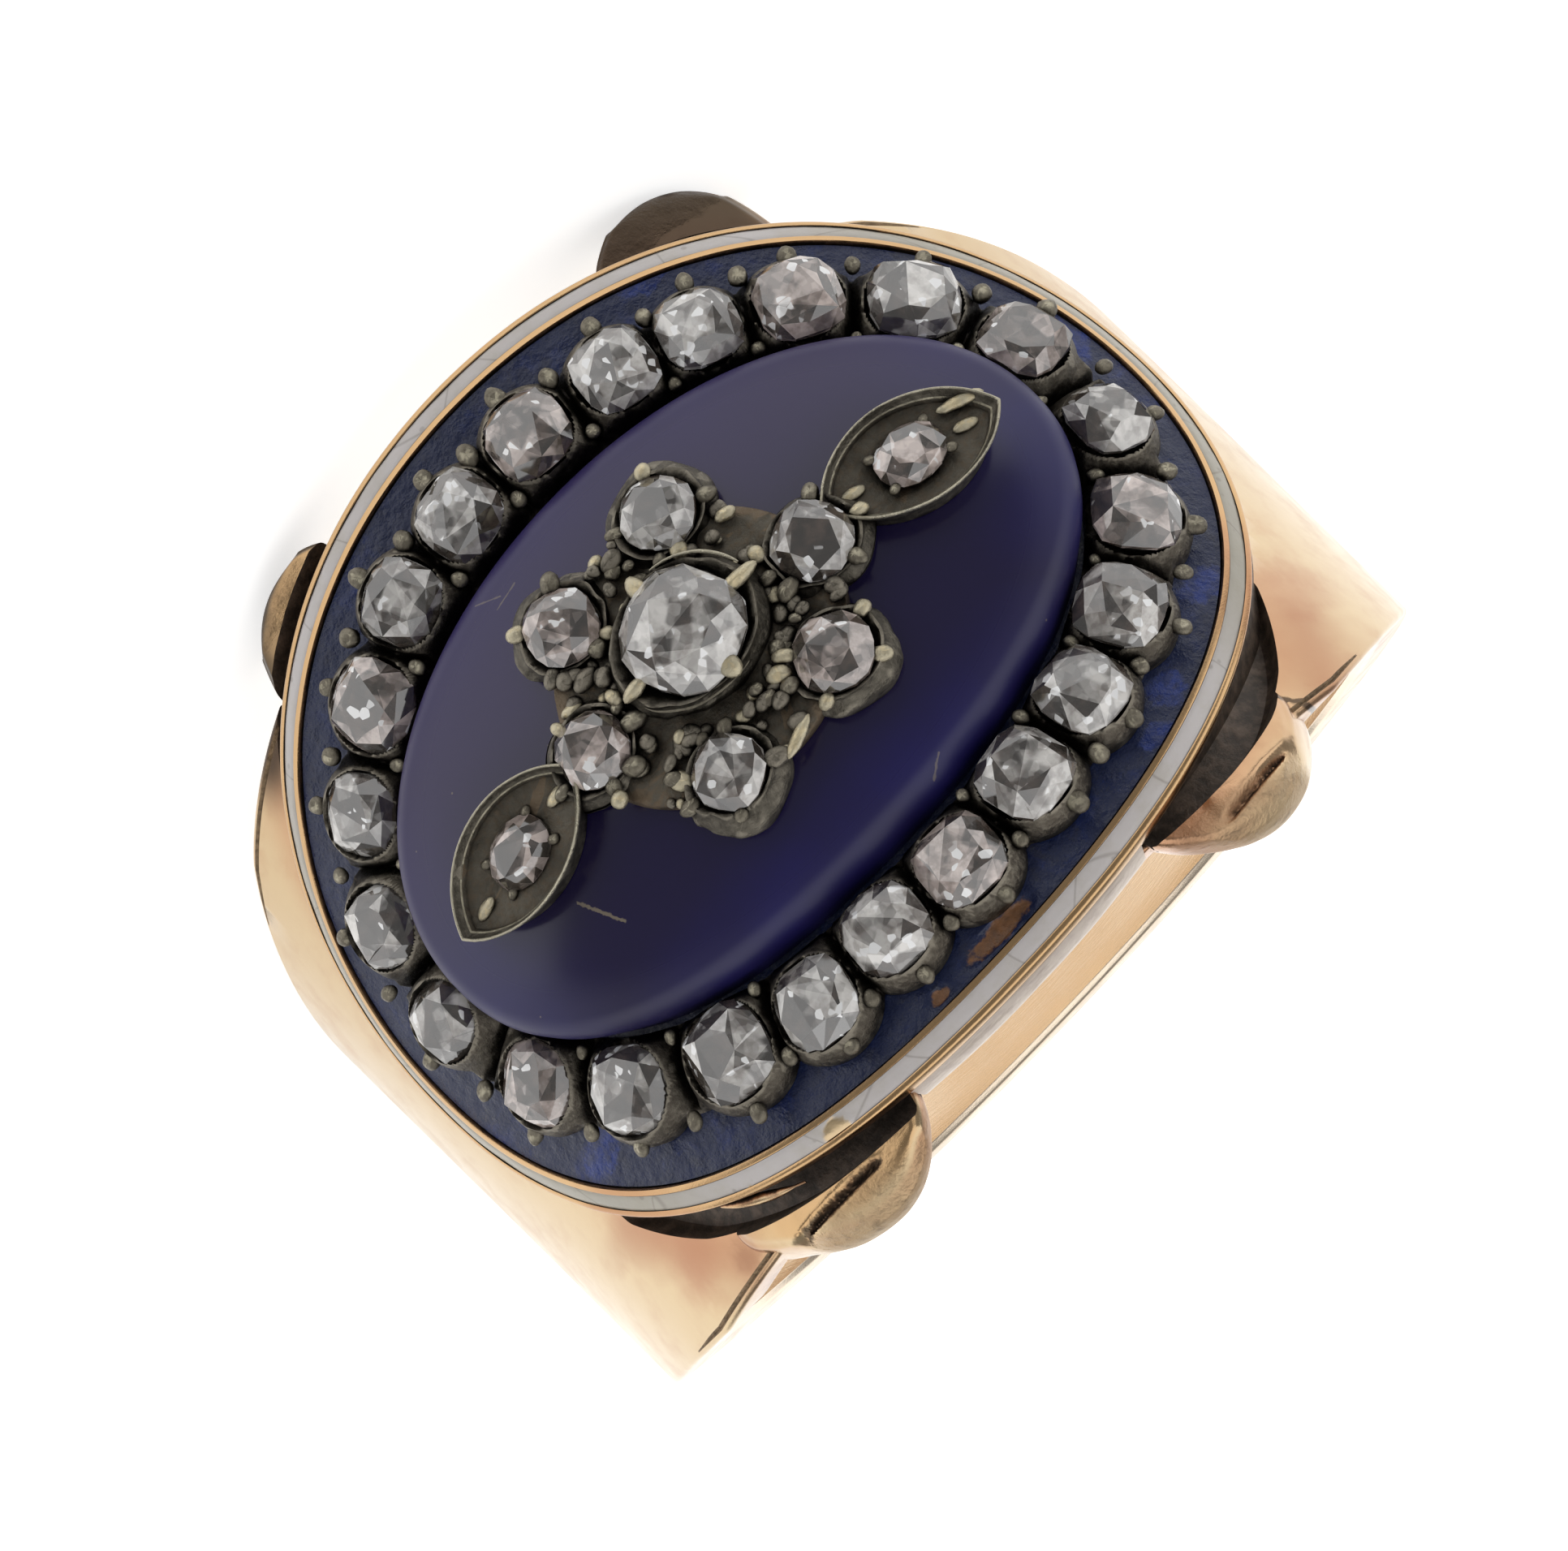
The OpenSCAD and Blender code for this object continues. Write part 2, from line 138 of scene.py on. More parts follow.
class RingHeadSizes(bpy.types.PropertyGroup):
    """Sizes of the bent oval head, its rim, enamels and plaque."""

    shift: length("Head shift", "How far the head sits off the middle of the hoop", -0.55)
    crown_z: length("Crown", "Height of the rim's crown above the finger's middle", 10.85)
    bend_r: length("Bend", "Radius to which the head is bent over the finger", 13.05)
    field_l: length("Field half length", "Half length of the enamelled field along the bend", 10.64)
    field_w: length("Field half width", "Half width of the enamelled field", 7.83)
    fullness: bpy.props.FloatProperty(
        name="Fullness", description="Fullness of the ovals, where 2 is an ellipse", default=2.08
    )
    inner_line: length("Inner line", "Width of the gold line inside the white enamel", 0.15)
    white_w: length("White enamel", "Width of the white enamel line", 0.33)
    outer_line: length("Outer line", "Width of the gold edge outside the white enamel", 0.14)
    rim_fall: length("Rim fall", "How far the rim slopes down towards its outer edge", 0.17)
    rim_h: length("Rim height", "Height of the gold rim", 0.65)
    wall_inset: length("Wall inset", "How far the head's wall stands in from the rim", 0.45)
    blue_sink: length("Blue depth", "How far the blue enamel lies below the rim", 0.08)
    blue_t: length("Blue thickness", "Thickness of the blue enamel", 0.3)
    gap: length("Gap", "Gap between pieces that are set into each other", 0.03)
    field_shift: length("Field shift", "Shift of the plaque and stones along the head", -0.2)
    plaque_l: length("Plaque half length", "Half length of the plaque along the bend", 7.75)
    plaque_w: length("Plaque half width", "Half width of the plaque", 4.93)
    dome_h: length("Dome height", "Height of the dome above the rim", 1.6)
    dome_r: length("Dome radius", "Radius of the dome across the head", 16.0)
    plaque_round: length("Plaque edge", "Rounding of the plaque's edge", 0.5)
    end_fall: length("End fall", "How far the dome falls away towards its two ends", 0.3)


class RingSilverSizes(bpy.types.PropertyGroup):
    """Sizes of the silver border and the flower."""

    row_l: length("Row half length", "Half length of the row of stones along the bend", 8.8)
    row_w: length("Row half width", "Half width of the row of stones", 6.08)
    border_h: length("Border height", "Height of the silver border above the rim", 0.5)
    scallop: length("Scallop", "Silver left beyond each stone", 0.28)
    band_w: length("Band", "Width of the silver band that joins the scallops", 1.5)
    bead_r: length("Bead", "Radius of the beads that hold the border stones", 0.19)
    petal_r: length("Petal", "Radius of the metal around each petal stone", 1.03)
    web_r: length("Web", "Radius of the plate behind the petals", 2.3)
    web_h: length("Web height", "Height of that plate above the rim", 1.88)
    middle_wall: length("Middle wall", "Room between the middle stone and the outside of its collet", 0.22)
    leaf_l: length("Leaf half length", "Half length of a leaf", 1.78)
    leaf_w: length("Leaf half width", "Half width of a leaf", 1.14)
    leaf_h: length("Leaf height", "Height of a leaf's edge above the rim", 2.24)
    leaf_bowl: length("Leaf bowl", "Depth of the bowl inside a leaf", 0.28)


class RingFinishes(bpy.types.PropertyGroup):
    """Colours of the metals, enamels and stones."""

    gold: colour("Gold", "Polished pale gold", 0.565, 0.43, 0.26)
    inside_gold: colour("Inside gold", "Brighter gold inside the hoop", 0.80, 0.67, 0.52)
    rim_gold: colour("Rim gold", "Deeper gold of the lines beside the white enamel", 0.52, 0.33, 0.165)
    # Also laid in the hollows, with dirt, as part of the painted shade there
    red_gold: colour("Red gold", "Redder gold where it is rubbed", 0.47, 0.25, 0.14)
    red_band: colour("Red band", "Reddish bands beside the recesses", 0.36, 0.17, 0.095)
    smudge: colour("Smudge", "Dark smudges beside the near ears", 0.24, 0.11, 0.065)
    brown_gold: colour("Brown gold", "Lighter brown of the head's wall", 0.16, 0.115, 0.085)
    pale_wall: colour("Pale wall", "Pale gold under the rim", 0.72, 0.63, 0.55)
    lilac_wall: colour("Lilac wall", "Lilac tone of that gold", 0.55, 0.46, 0.42)
    brown_wall: colour("Brown wall", "Brown streaks of that gold", 0.40, 0.31, 0.24)
    tarnish: colour("Tarnish", "Brown tarnish on the ears", 0.30, 0.21, 0.125)
    # Near-black: tarnish in patches, and dirt with painted shade in the deep places
    soot_and_shade: colour("Soot", "Dark tarnish in the deep places", 0.010, 0.008, 0.006)
    silver: colour("Dark silver", "Tarnished silver between the stones", 0.085, 0.073, 0.058)
    worn_silver: colour("Worn silver", "Duller worn places of the silver", 0.25, 0.225, 0.18)
    crust: colour("Crusted silver", "Brownish silver of the flower", 0.10, 0.09, 0.072)
    # This and the bead colour also colour the painted highlights along the middle stone's collet
    bright_silver: colour("Bright silver", "Worn edges of the silver", 0.37, 0.35, 0.285)
    bead: colour("Bead", "Pale, yellowed silver of the beads", 0.42, 0.385, 0.29)
    grain: colour("Grain", "Pale gold grains and claws", 0.66, 0.56, 0.36)
    white: colour("White enamel", "Greyish white enamel", 0.47, 0.44, 0.43)
    white_stain: colour("White stain", "Yellowish stains of that enamel", 0.38, 0.345, 0.28)
    white_ends: colour("White ends", "Greyer white enamel at the head's two ends", 0.30, 0.275, 0.205)
    white_marks: colour("White marks", "Cracks and specks of that enamel", 0.10, 0.075, 0.05)
    navy: colour("Border enamel", "Dark blue enamel of the border", 0.012, 0.018, 0.055)
    bright_blue: colour("Bright blue", "Lighter patches of that enamel", 0.014, 0.034, 0.19)
    blue_dirt: colour("Blue dirt", "Dull places of that enamel", 0.03, 0.028, 0.03)
    dark_ground: colour("Dark ground", "Darker ground where the enamel is lost", 0.07, 0.045, 0.035)
    # Dark brown: real dirt in the creases and dark joints, and also the painted shade of the recess, the
    # hollows and the far ears
    umber_dirt_and_shade: colour("Umber", "Dark brown of old dirt in the recess and the creases", 0.050, 0.037, 0.028)
    rust: colour("Rust", "Brown patches in the crevices of the flower", 0.15, 0.11, 0.072)
    rubbed: colour("Rubbed gold", "Reddish tone of rubbed gold", 0.42, 0.22, 0.13)
    copper: colour("Copper", "Bare ground where the enamel is lost", 0.33, 0.15, 0.06)
    plaque: colour("Plaque", "Deep violet blue of the plaque", 0.0095, 0.0065, 0.036)
    # Painted reflection: a violet sheen laid on one side of the plaque
    painted_violet_sheen: colour("Violet", "Milky violet of one side of the plaque", 0.024, 0.014, 0.075)
    royal: colour("Royal blue", "Clear blue of the plaque where it is thin", 0.010, 0.008, 0.09)
    scratch: colour("Scratch", "Scratches and dust on the plaque", 0.30, 0.25, 0.16)
    # Painted light and shade of the facets, standing in for the stones' reflections
    painted_facet_light: colour("Light facets", "Light facets of the stones", 0.90, 0.87, 0.83)
    painted_facet_shade: colour("Dark facets", "Dark facets of the stones", 0.042, 0.036, 0.031)
    flaw: colour("Flaw", "Brownish flaws in the stones", 0.14, 0.10, 0.08)


class RingStage(bpy.types.PropertyGroup):
    """The studio: where the camera stands and how strong the lights are."""

    around: angle("Around", "Camera's direction about the head's normal, from the head's length", 98.11)
    above: angle("Above", "Camera's height above the plane of the head", 67.658)
    roll: angle("Roll", "Turn of the camera about its own axis", 134.571)
    distance: bpy.props.FloatProperty(
        name="Distance", description="Distance of the camera from the head", default=0.979, unit="LENGTH"
    )
    aim_right: length("Aim right", "How far to the right of the head's crown the camera aims", 1.206)
    aim_up: length("Aim up", "How far above the head's crown the camera aims", -1.712)
    lens: bpy.props.FloatProperty(name="Lens", description="Focal length in millimetres", default=1192.5)
    floor: colour("Floor", "Plain pale floor", 0.90, 0.90, 0.895)
    floor_glow: share("Floor glow", "Light that the floor gives off, as a light table does", 0.62)
    room: share("Room", "Brightness of the room beyond the lights", 0.29)


def unit(values):
    """The values scaled to a length of 1."""
    return values / np.linalg.norm(values, axis=-1, keepdims=True)


def smooth_step(low, high, values):
    """0 below low, 1 above high, and a soft step between."""
    t = np.clip((values - low) / (high - low), 0, 1)
    return t * t * (3 - 2 * t)


def bell(values, width):
    """1 in the middle, falling softly to 0 at about twice the width."""
    return np.exp(-((values / width) ** 2))


def grain(points, size, seed=0):
    """Smooth noise from -1 to 1 at each point, with hills of the given size."""
    shift = Vector((17.3 * seed, -9.1 * seed, 5.7 * seed))
    flat = np.asarray(points, float).reshape(-1, 3) / size
    values = [noise.noise(Vector(p) + shift) for p in flat]
    return np.array(values).reshape(np.shape(points)[:-1])


def roughness(points, *waves):
    """Uneven heights at each point, from waves of (size in millimetres, seed, height in millimetres)."""
    return sum(grain(points, size * MM, seed) * height * MM for size, seed, height in waves)


def all_round(steps):
    """Angles of a full turn, in equal steps."""
    return np.linspace(0, 2 * math.pi, steps, endpoint=False)


def beside(place, reach, lean):
    """The place at a distance and direction from another place."""
    return place[0] + reach * math.cos(lean), place[1] + reach * math.sin(lean)


def turned(place, x, y, lean):
    """Places x and y away from another place, when those two ways are turned by an angle."""
    c, s = math.cos(lean), math.sin(lean)
    return place[0] + x * c - y * s, place[1] + x * s + y * c


def oval(half_l, half_w, turns, fullness):
    """Points of an oval on the flat head, at the given angles."""
    c, s = np.cos(turns), np.sin(turns)
    along = half_l * np.sign(c) * np.abs(c) ** (2 / fullness)
    across = half_w * np.sign(s) * np.abs(s) ** (2 / fullness)
    return along, across


def flat_points(along, across, height):
    """Points of the flat head, from three arrays or numbers."""
    return np.stack(np.broadcast_arrays(along, across, height), -1).astype(float)


def head_loop(head, out, turns, height, part=1.0):
    """A part of the loop on the flat head that lies a distance outside the enamelled field."""
    along, across = oval((head.field_l + out) * part, (head.field_w + out) * part, turns, head.fullness)
    return flat_points(along, across, height)


def lowered(loop, foot, part):
    """A loop of the flat head moved a part of the way down to a height."""
    lower = loop.copy()
    lower[:, 2] = loop[:, 2] + (foot - loop[:, 2]) * part
    return lower


def bent(points, head):
    """Bends points of the flat head over the finger, into the ring's own frame."""
    points = np.asarray(points, float)
    turn = points[..., 0] / head.bend_r
    reach = head.bend_r + points[..., 2]
    bend_z = head.crown_z - head.bend_r
    return np.stack([head.shift + reach * np.sin(turn), points[..., 1], bend_z + reach * np.cos(turn)], -1)


def flattened(points, head):
    """The other way round: points of the ring's own frame, told as along, across and height."""
    points = np.asarray(points, float)
    x = points[..., 0] - head.shift
    z = points[..., 2] - (head.crown_z - head.bend_r)
    return np.stack([head.bend_r * np.arctan2(x, z), points[..., 1], np.hypot(x, z) - head.bend_r], -1)


def dome_height(along, across, head):
    """Height of the plaque's dome above the rim."""
    fall = head.dome_r - np.sqrt(np.maximum(head.dome_r**2 - np.square(across), 0))
    ends = head.end_fall * np.clip(np.abs(along) / head.plaque_l, 0, 1) ** 6
    return head.dome_h - fall - ends


def resting(hoop):
    """Where the ring's own frame is when it lies on two ears and the back of its hoop."""
    tilt = hoop.rest_tilt
    lift = math.cos(tilt) * (hoop.back_w / 2 - hoop.across) + math.sin(tilt) * outside_r(hoop)
    place = Matrix.Translation((hoop.rest_x, hoop.rest_y, lift + hoop.roll_lift))
    return place @ Euler((math.radians(90) - tilt, hoop.rest_roll, 0)).to_matrix().to_4x4()


def outside_r(hoop):
    """Radius of the hoop's outside."""
    return hoop.bore_r + hoop.wall_t


def rim_w(head):
    """How far the rim reaches outside the enamelled field."""
    return head.inner_line + head.white_w + head.outer_line


def moved(points, matrix):
    """Points taken through a matrix."""
    matrix = np.array(matrix)
    return np.asarray(points, float) @ matrix[:3, :3].T + matrix[:3, 3]


class Shell:
    """Points and faces of one piece while it is being made, each face with the number of its finish."""

    def __init__(self):
        self.points = []
        self.faces = []
        self.finishes = []
        self.count = 0

    def loft(self, loops, closed=False, finish=0):
        """Joins closed loops in turn. Unless the last meets the first, both ends are closed.

        The finish is one number, or one for each row of faces, or one for each face.
        """
        loops = np.asarray(loops, float)
        rows, columns = loops.shape[:2]
        points = loops.reshape(-1, 3)
        row = np.arange(rows if closed else rows - 1)[:, None] * columns
        here = np.arange(columns)[None, :]
        after = (here + 1) % columns
        above = (row + columns) % (rows * columns)
        faces = np.stack([row + here, row + after, above + after, above + here], -1).reshape(-1, 4).tolist()
        finish = np.asarray(finish)
        marks = np.broadcast_to(finish[:, None] if finish.ndim == 1 else finish, (len(row), columns))
        if not closed:
            last = (rows - 1) * columns
            points = np.concatenate([points, [loops[0].mean(0), loops[-1].mean(0)]])
            foot, top = rows * columns, rows * columns + 1
            faces += [[foot, (k + 1) % columns, k] for k in range(columns)]
            faces += [[top, last + k, last + (k + 1) % columns] for k in range(columns)]
            marks = np.concatenate([marks, marks[:1], marks[-1:]])
        self.points.append(points)
        self.faces.extend([[self.count + k for k in face] for face in faces])
        self.finishes.extend(marks.ravel().tolist())
        self.count += len(points)


def lofted(loops, **options):
    """A shell made of one run of loops."""
    shell = Shell()
    shell.loft(loops, **options)
    return shell


def new_object(name, data):
    """A new object in the scene."""
    made = bpy.data.objects.new(name, data)
    bpy.context.scene.collection.objects.link(made)
    return made


def mesh_object(name, shell, looks, matrix, crease_angle=GOLD_CREASE):
    """A new object from a shell and the names of its finishes, smooth except across the sharp edges."""
    mesh = bpy.data.meshes.new(name)
    mesh.from_pydata(moved(np.concatenate(shell.points), matrix).tolist(), [], shell.faces)
    for look in looks:
        mesh.materials.append(bpy.data.materials[look])
    mesh.polygons.foreach_set("material_index", shell.finishes)
    sides = bmesh.new()
    sides.from_mesh(mesh)
    bmesh.ops.recalc_face_normals(sides, faces=sides.faces)
    sides.to_mesh(mesh)
    sides.free()
    smooth(mesh, crease_angle)
    return new_object(name, mesh)


def smooth(mesh, crease_angle):
    """Smooth shading, with edges kept sharp above an angle in degrees."""
    mesh.polygons.foreach_set("use_smooth", [True] * len(mesh.polygons))
    mesh.set_sharp_from_angle(angle=math.radians(crease_angle))
    mesh.update()


def combine(target, other, operation):
    """Joins or cuts one closed mesh with another, which is then deleted."""
    step = target.modifiers.new("combine", "BOOLEAN")
    step.operation = operation
    step.solver = "MANIFOLD"
    step.object = other
    bpy.context.view_layer.update()
    seen = target.evaluated_get(bpy.context.evaluated_depsgraph_get())
    mesh = bpy.data.meshes.new_from_object(seen)
    if not mesh.polygons:
        raise RuntimeError(f"{target.name} came out empty when it was combined with {other.name}")
    target.modifiers.clear()
    old = target.data
    target.data = mesh
    mesh.name = old.name
    bpy.data.meshes.remove(old)
    bpy.data.objects.remove(other)
    smooth(mesh, GOLD_CREASE)


def finish_piece(piece, slot, *nodes):
    """Seats a new piece on the ring's body, in place of CAD nodes."""
    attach(piece, BODY)
    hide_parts(*nodes)


class Weave:
    """Short ways to add and link the nodes of one node tree."""

    def __init__(self, tree):
        self.tree = tree

    def node(self, kind, **settings):
        """A new node with some of its settings."""
        made = self.tree.nodes.new(kind)
        for name, value in settings.items():
            setattr(made, name, value)
        return made

    def feed(self, socket, value):
        """Sets an input to a value, or links it to an output."""
        if isinstance(value, bpy.types.NodeSocket):
            self.tree.links.new(value, socket)
        elif hasattr(socket.default_value, "__len__") and len(socket.default_value) == 4 and len(value) == 3:
            socket.default_value = (*value, 1)
        else:
            socket.default_value = value

    def fill(self, sockets, **values):
        """Feeds several inputs by name, with _ for a space."""
        for name, value in values.items():
            self.feed(sockets[name.replace("_", " ")], value)

    def filled(self, kind, values, **settings):
        """A new node with its first inputs fed in order."""
        made = self.node(kind, **settings)
        for socket, value in zip(made.inputs, values):
            self.feed(socket, value)
        return made

    def math(self, operation, *values):
        """A sum on one, two or three values."""
        return self.filled("ShaderNodeMath", values, operation=operation).outputs[0]

    def chain(self, operation, values):
        """The same sum on each value in turn and what the ones before gave."""
        total = values[0]
        for value in values[1:]:
            total = self.math(operation, total, value)
        return total

    def times(self, *values):
        """The product of values."""
        return self.chain("MULTIPLY", values)

    def plus(self, *values):
        """The sum of values."""
        return self.chain("ADD", values)

    def rest(self, value):
        """What is left of 1 after a value."""
        return self.math("SUBTRACT", 1.0, value)

    def size(self, value):
        """A value without its sign."""
        return self.math("ABSOLUTE", value)

    def vector(self, operation, *values):
        """A sum on vectors that gives a vector."""
        return self.filled("ShaderNodeVectorMath", values, operation=operation).outputs[0]

    def length(self, value):
        """The length of a vector."""
        return self.filled("ShaderNodeVectorMath", [value], operation="LENGTH").outputs["Value"]

    def dot(self, *values):
        """The dot product of two vectors."""
        return self.filled("ShaderNodeVectorMath", values, operation="DOT_PRODUCT").outputs["Value"]

    def split(self, value):
        """The three numbers of a vector."""
        return self.filled("ShaderNodeSeparateXYZ", [value]).outputs

    def join(self, *values):
        """A vector of three numbers."""
        return self.filled("ShaderNodeCombineXYZ", values).outputs[0]

    def mix(self, factor, first, second):
        """A mix of two colours, which are inputs 6 and 7 and output 2 of its node."""
        made = self.node("ShaderNodeMix", data_type="RGBA")
        for index, value in ((0, factor), (6, first), (7, second)):
            self.feed(made.inputs[index], value)
        return made.outputs[2]

    def layers(self, tone, *layers):
        """Lays colours over a tone in turn, each through its own mask."""
        for mask, layer in layers:
            tone = self.mix(mask, tone, layer)
        return tone

    def range(self, value, low, high, to_low=0.0, to_high=1.0):
        """A soft step of a value from one range to another."""
        made = self.node("ShaderNodeMapRange", interpolation_type="SMOOTHSTEP")
        self.fill(made.inputs, Value=value, From_Min=low, From_Max=high, To_Min=to_low, To_Max=to_high)
        return made.outputs[0]

    def noise(self, place, scale, detail=4.0, roughness=0.55, distortion=0.0):
        """A noise from 0 to 1 over a place."""
        made = self.node("ShaderNodeTexNoise")
        look = {"Detail": detail, "Roughness": roughness, "Distortion": distortion}
        self.fill(made.inputs, Vector=place, Scale=scale, **look)
        return made.outputs[0]

    def cells(self, place, scale, feature="F1"):
        """Distance within cells over a place."""
        made = self.node("ShaderNodeTexVoronoi", feature=feature)
        self.fill(made.inputs, Vector=place, Scale=scale)
        return made.outputs["Distance"]

    def cell_tone(self, place, scale):
        """A tone from 0 to 1 that differs from cell to cell over a place."""
        made = self.node("ShaderNodeTexVoronoi", feature="SMOOTH_F1")
        self.fill(made.inputs, Vector=place, Scale=scale, Smoothness=0.3)
        return self.dot(made.outputs["Color"], (1, 0, 0))

    def group(self, tree, **values):
        """A node group, with values for its named inputs."""
        made = self.node("ShaderNodeGroup", node_tree=tree)
        self.fill(made.inputs, **values)
        return made.outputs

    def bump(self, height, depth, strength=1.0, **normal):
        """A bump from a height of 0 to 1, with its depth in metres, over another normal if one is given."""
        made = self.node("ShaderNodeBump")
        self.fill(made.inputs, Strength=strength, Distance=depth, Height=height, **normal)
        return made.outputs[0]


def new_group(name, inputs, outputs, kind="NodeSocketFloat"):
    """An empty shader node group: ways to fill it, what it is asked and what it gives."""
    tree = bpy.data.node_groups.new(name, "ShaderNodeTree")
    for label, default in inputs.items():
        asked = "NodeSocketVector" if isinstance(default, tuple) else "NodeSocketFloat"
        made = tree.interface.new_socket(label, in_out="INPUT", socket_type=asked)
        made.default_value = default
    for label in outputs:
        tree.interface.new_socket(label, in_out="OUTPUT", socket_type=kind)
    return Weave(tree), tree.nodes.new("NodeGroupInput").outputs, tree.nodes.new("NodeGroupOutput").inputs


def place_group(hoop, head):
    """Group that tells a surface its place on the ring and on the flat head, in millimetres."""
    weave, _, given = new_group("Ring place", {}, ("Ring", "Head"), "NodeSocketVector")
    rest = resting(hoop)
    back = weave.node("ShaderNodeMapping", vector_type="TEXTURE")
    lies = {"Location": rest.translation, "Rotation": rest.to_euler(), "Scale": (MM, MM, MM)}
    weave.fill(back.inputs, Vector=weave.node("ShaderNodeTexCoord").outputs["Object"], **lies)
    ring = back.outputs[0]
    bend_r = head.bend_r / MM
    along, across, up = weave.split(ring)
    x = weave.math("SUBTRACT", along, head.shift / MM)
    z = weave.math("SUBTRACT", up, (head.crown_z - head.bend_r) / MM)
    bent_along = weave.times(weave.math("ARCTAN2", x, z), bend_r)
    reach = weave.math("SQRT", weave.plus(weave.times(x, x), weave.times(z, z)))
    flat = weave.join(bent_along, across, weave.math("SUBTRACT", reach, bend_r))
    weave.fill(given, Ring=ring, Head=flat)
    return weave.tree


def edge_group(head):
    """Group that tells how far outside the enamelled field a place on the flat head is, in millimetres."""
    weave, asked, given = new_group("Head edge", {"Place": (0, 0, 0)}, ("Out",))
    flat = weave.vector("MULTIPLY", asked["Place"], (1, 1, 0))
    part = weave.length(weave.vector("DIVIDE", flat, (head.field_l / MM, head.field_w / MM, 1)))
    outside = weave.times(weave.length(flat), weave.rest(weave.math("DIVIDE", 1.0, part)))
    weave.fill(given, Out=outside)
    return weave.tree


def wear_group():
    """Group for old metal: dirt with painted shade in deep places, worn edges, mottling and fine scratches.
    """
    inputs = {"Place": (0, 0, 0), "Reach": 0.6 * MM, "Dirt": 1.0}
    weave, asked, given = new_group("Old metal", inputs, ("Dirt", "Edge", "Mottle", "Scratch"))
    place = asked["Place"]
    # Darkening from ambient occlusion: dirt in the hollows together with painted shade there
    shade = weave.node("ShaderNodeAmbientOcclusion", samples=8)
    weave.fill(shade.inputs, Distance=asked["Reach"])
    patchy = weave.range(weave.noise(place, 2.6, 5, 0.6), 0.25, 0.75, 0.55, 1.35)
    dirt_and_shade = weave.times(weave.rest(shade.outputs["AO"]), patchy, asked["Dirt"])
    point = weave.node("ShaderNodeNewGeometry").outputs["Pointiness"]
    along = weave.noise(weave.vector("MULTIPLY", place, (2.2, 26.0, 2.2)), 1.0, 3, 0.7)
    cross = weave.noise(weave.vector("MULTIPLY", place, (19.0, 3.0, 17.0)), 1.0, 3, 0.7)
    weave.fill(
        given,
        Dirt=weave.range(dirt_and_shade, 0.12, 0.75),
        Edge=weave.range(point, 0.505, 0.56),
        Mottle=weave.noise(place, 1.1, 6, 0.62),
        Scratch=weave.times(weave.plus(along, cross), 0.5),
    )
    return weave.tree


def line_group():
    """Group that marks a straight line between two places, soft or sharp, such as a scratch or a band."""
    inputs = {"Place": (0, 0, 0), "Start": (0, 0, 0), "End": (1, 0, 0)}
    inputs |= {"Width": 0.03, "Grain": 9.0, "Core": 0.4}
    weave, asked, given = new_group("Worn line", inputs, ("Mask",))
    flat = weave.vector("MULTIPLY", asked["Place"], (1, 1, 0))
    way = weave.vector("SUBTRACT", asked["End"], asked["Start"])
    gone = weave.vector("SUBTRACT", flat, asked["Start"])
    part = weave.math("DIVIDE", weave.dot(gone, way), weave.dot(way, way))
    part = weave.math("MINIMUM", weave.math("MAXIMUM", part, 0.0), 1.0)
    nearest = weave.node("ShaderNodeVectorMath", operation="SCALE")
    weave.feed(nearest.inputs[0], way)
    weave.fill(nearest.inputs, Scale=part)
    apart = weave.length(weave.vector("SUBTRACT", gone, nearest.outputs[0]))
    uneven = weave.range(weave.noise(flat, asked["Grain"], 2), 0.3, 0.7, 0.5, 1.2)
    worn = weave.times(asked["Width"], uneven)
    faded = weave.range(weave.math("DIVIDE", apart, worn), asked["Core"], 1.0)
    weave.fill(given, Mask=weave.rest(faded))
    return weave.tree


def spot_group():
    """Group that marks a ragged spot around a place, whatever its height."""
    inputs = {"Place": (0, 0, 0), "Centre": (0, 0, 0), "Reach": (1, 1, 1)}
    inputs |= {"Ragged": 0.5, "Grain": 3.0, "Soft": 0.3}
    weave, asked, given = new_group("Ragged spot", inputs, ("Mask",))
    flat = weave.vector("MULTIPLY", weave.vector("SUBTRACT", asked["Place"], asked["Centre"]), (1, 1, 0))
    apart = weave.length(weave.vector("DIVIDE", flat, asked["Reach"]))
    rough = weave.math("SUBTRACT", weave.noise(asked["Place"], asked["Grain"], 5, 0.65), 0.5)
    ragged = weave.plus(apart, weave.times(rough, asked["Ragged"], 4.0))
    inner = weave.math("SUBTRACT", SPOT_EDGE, asked["Soft"])
    weave.fill(given, Mask=weave.rest(weave.range(ragged, inner, SPOT_EDGE)))
    return weave.tree


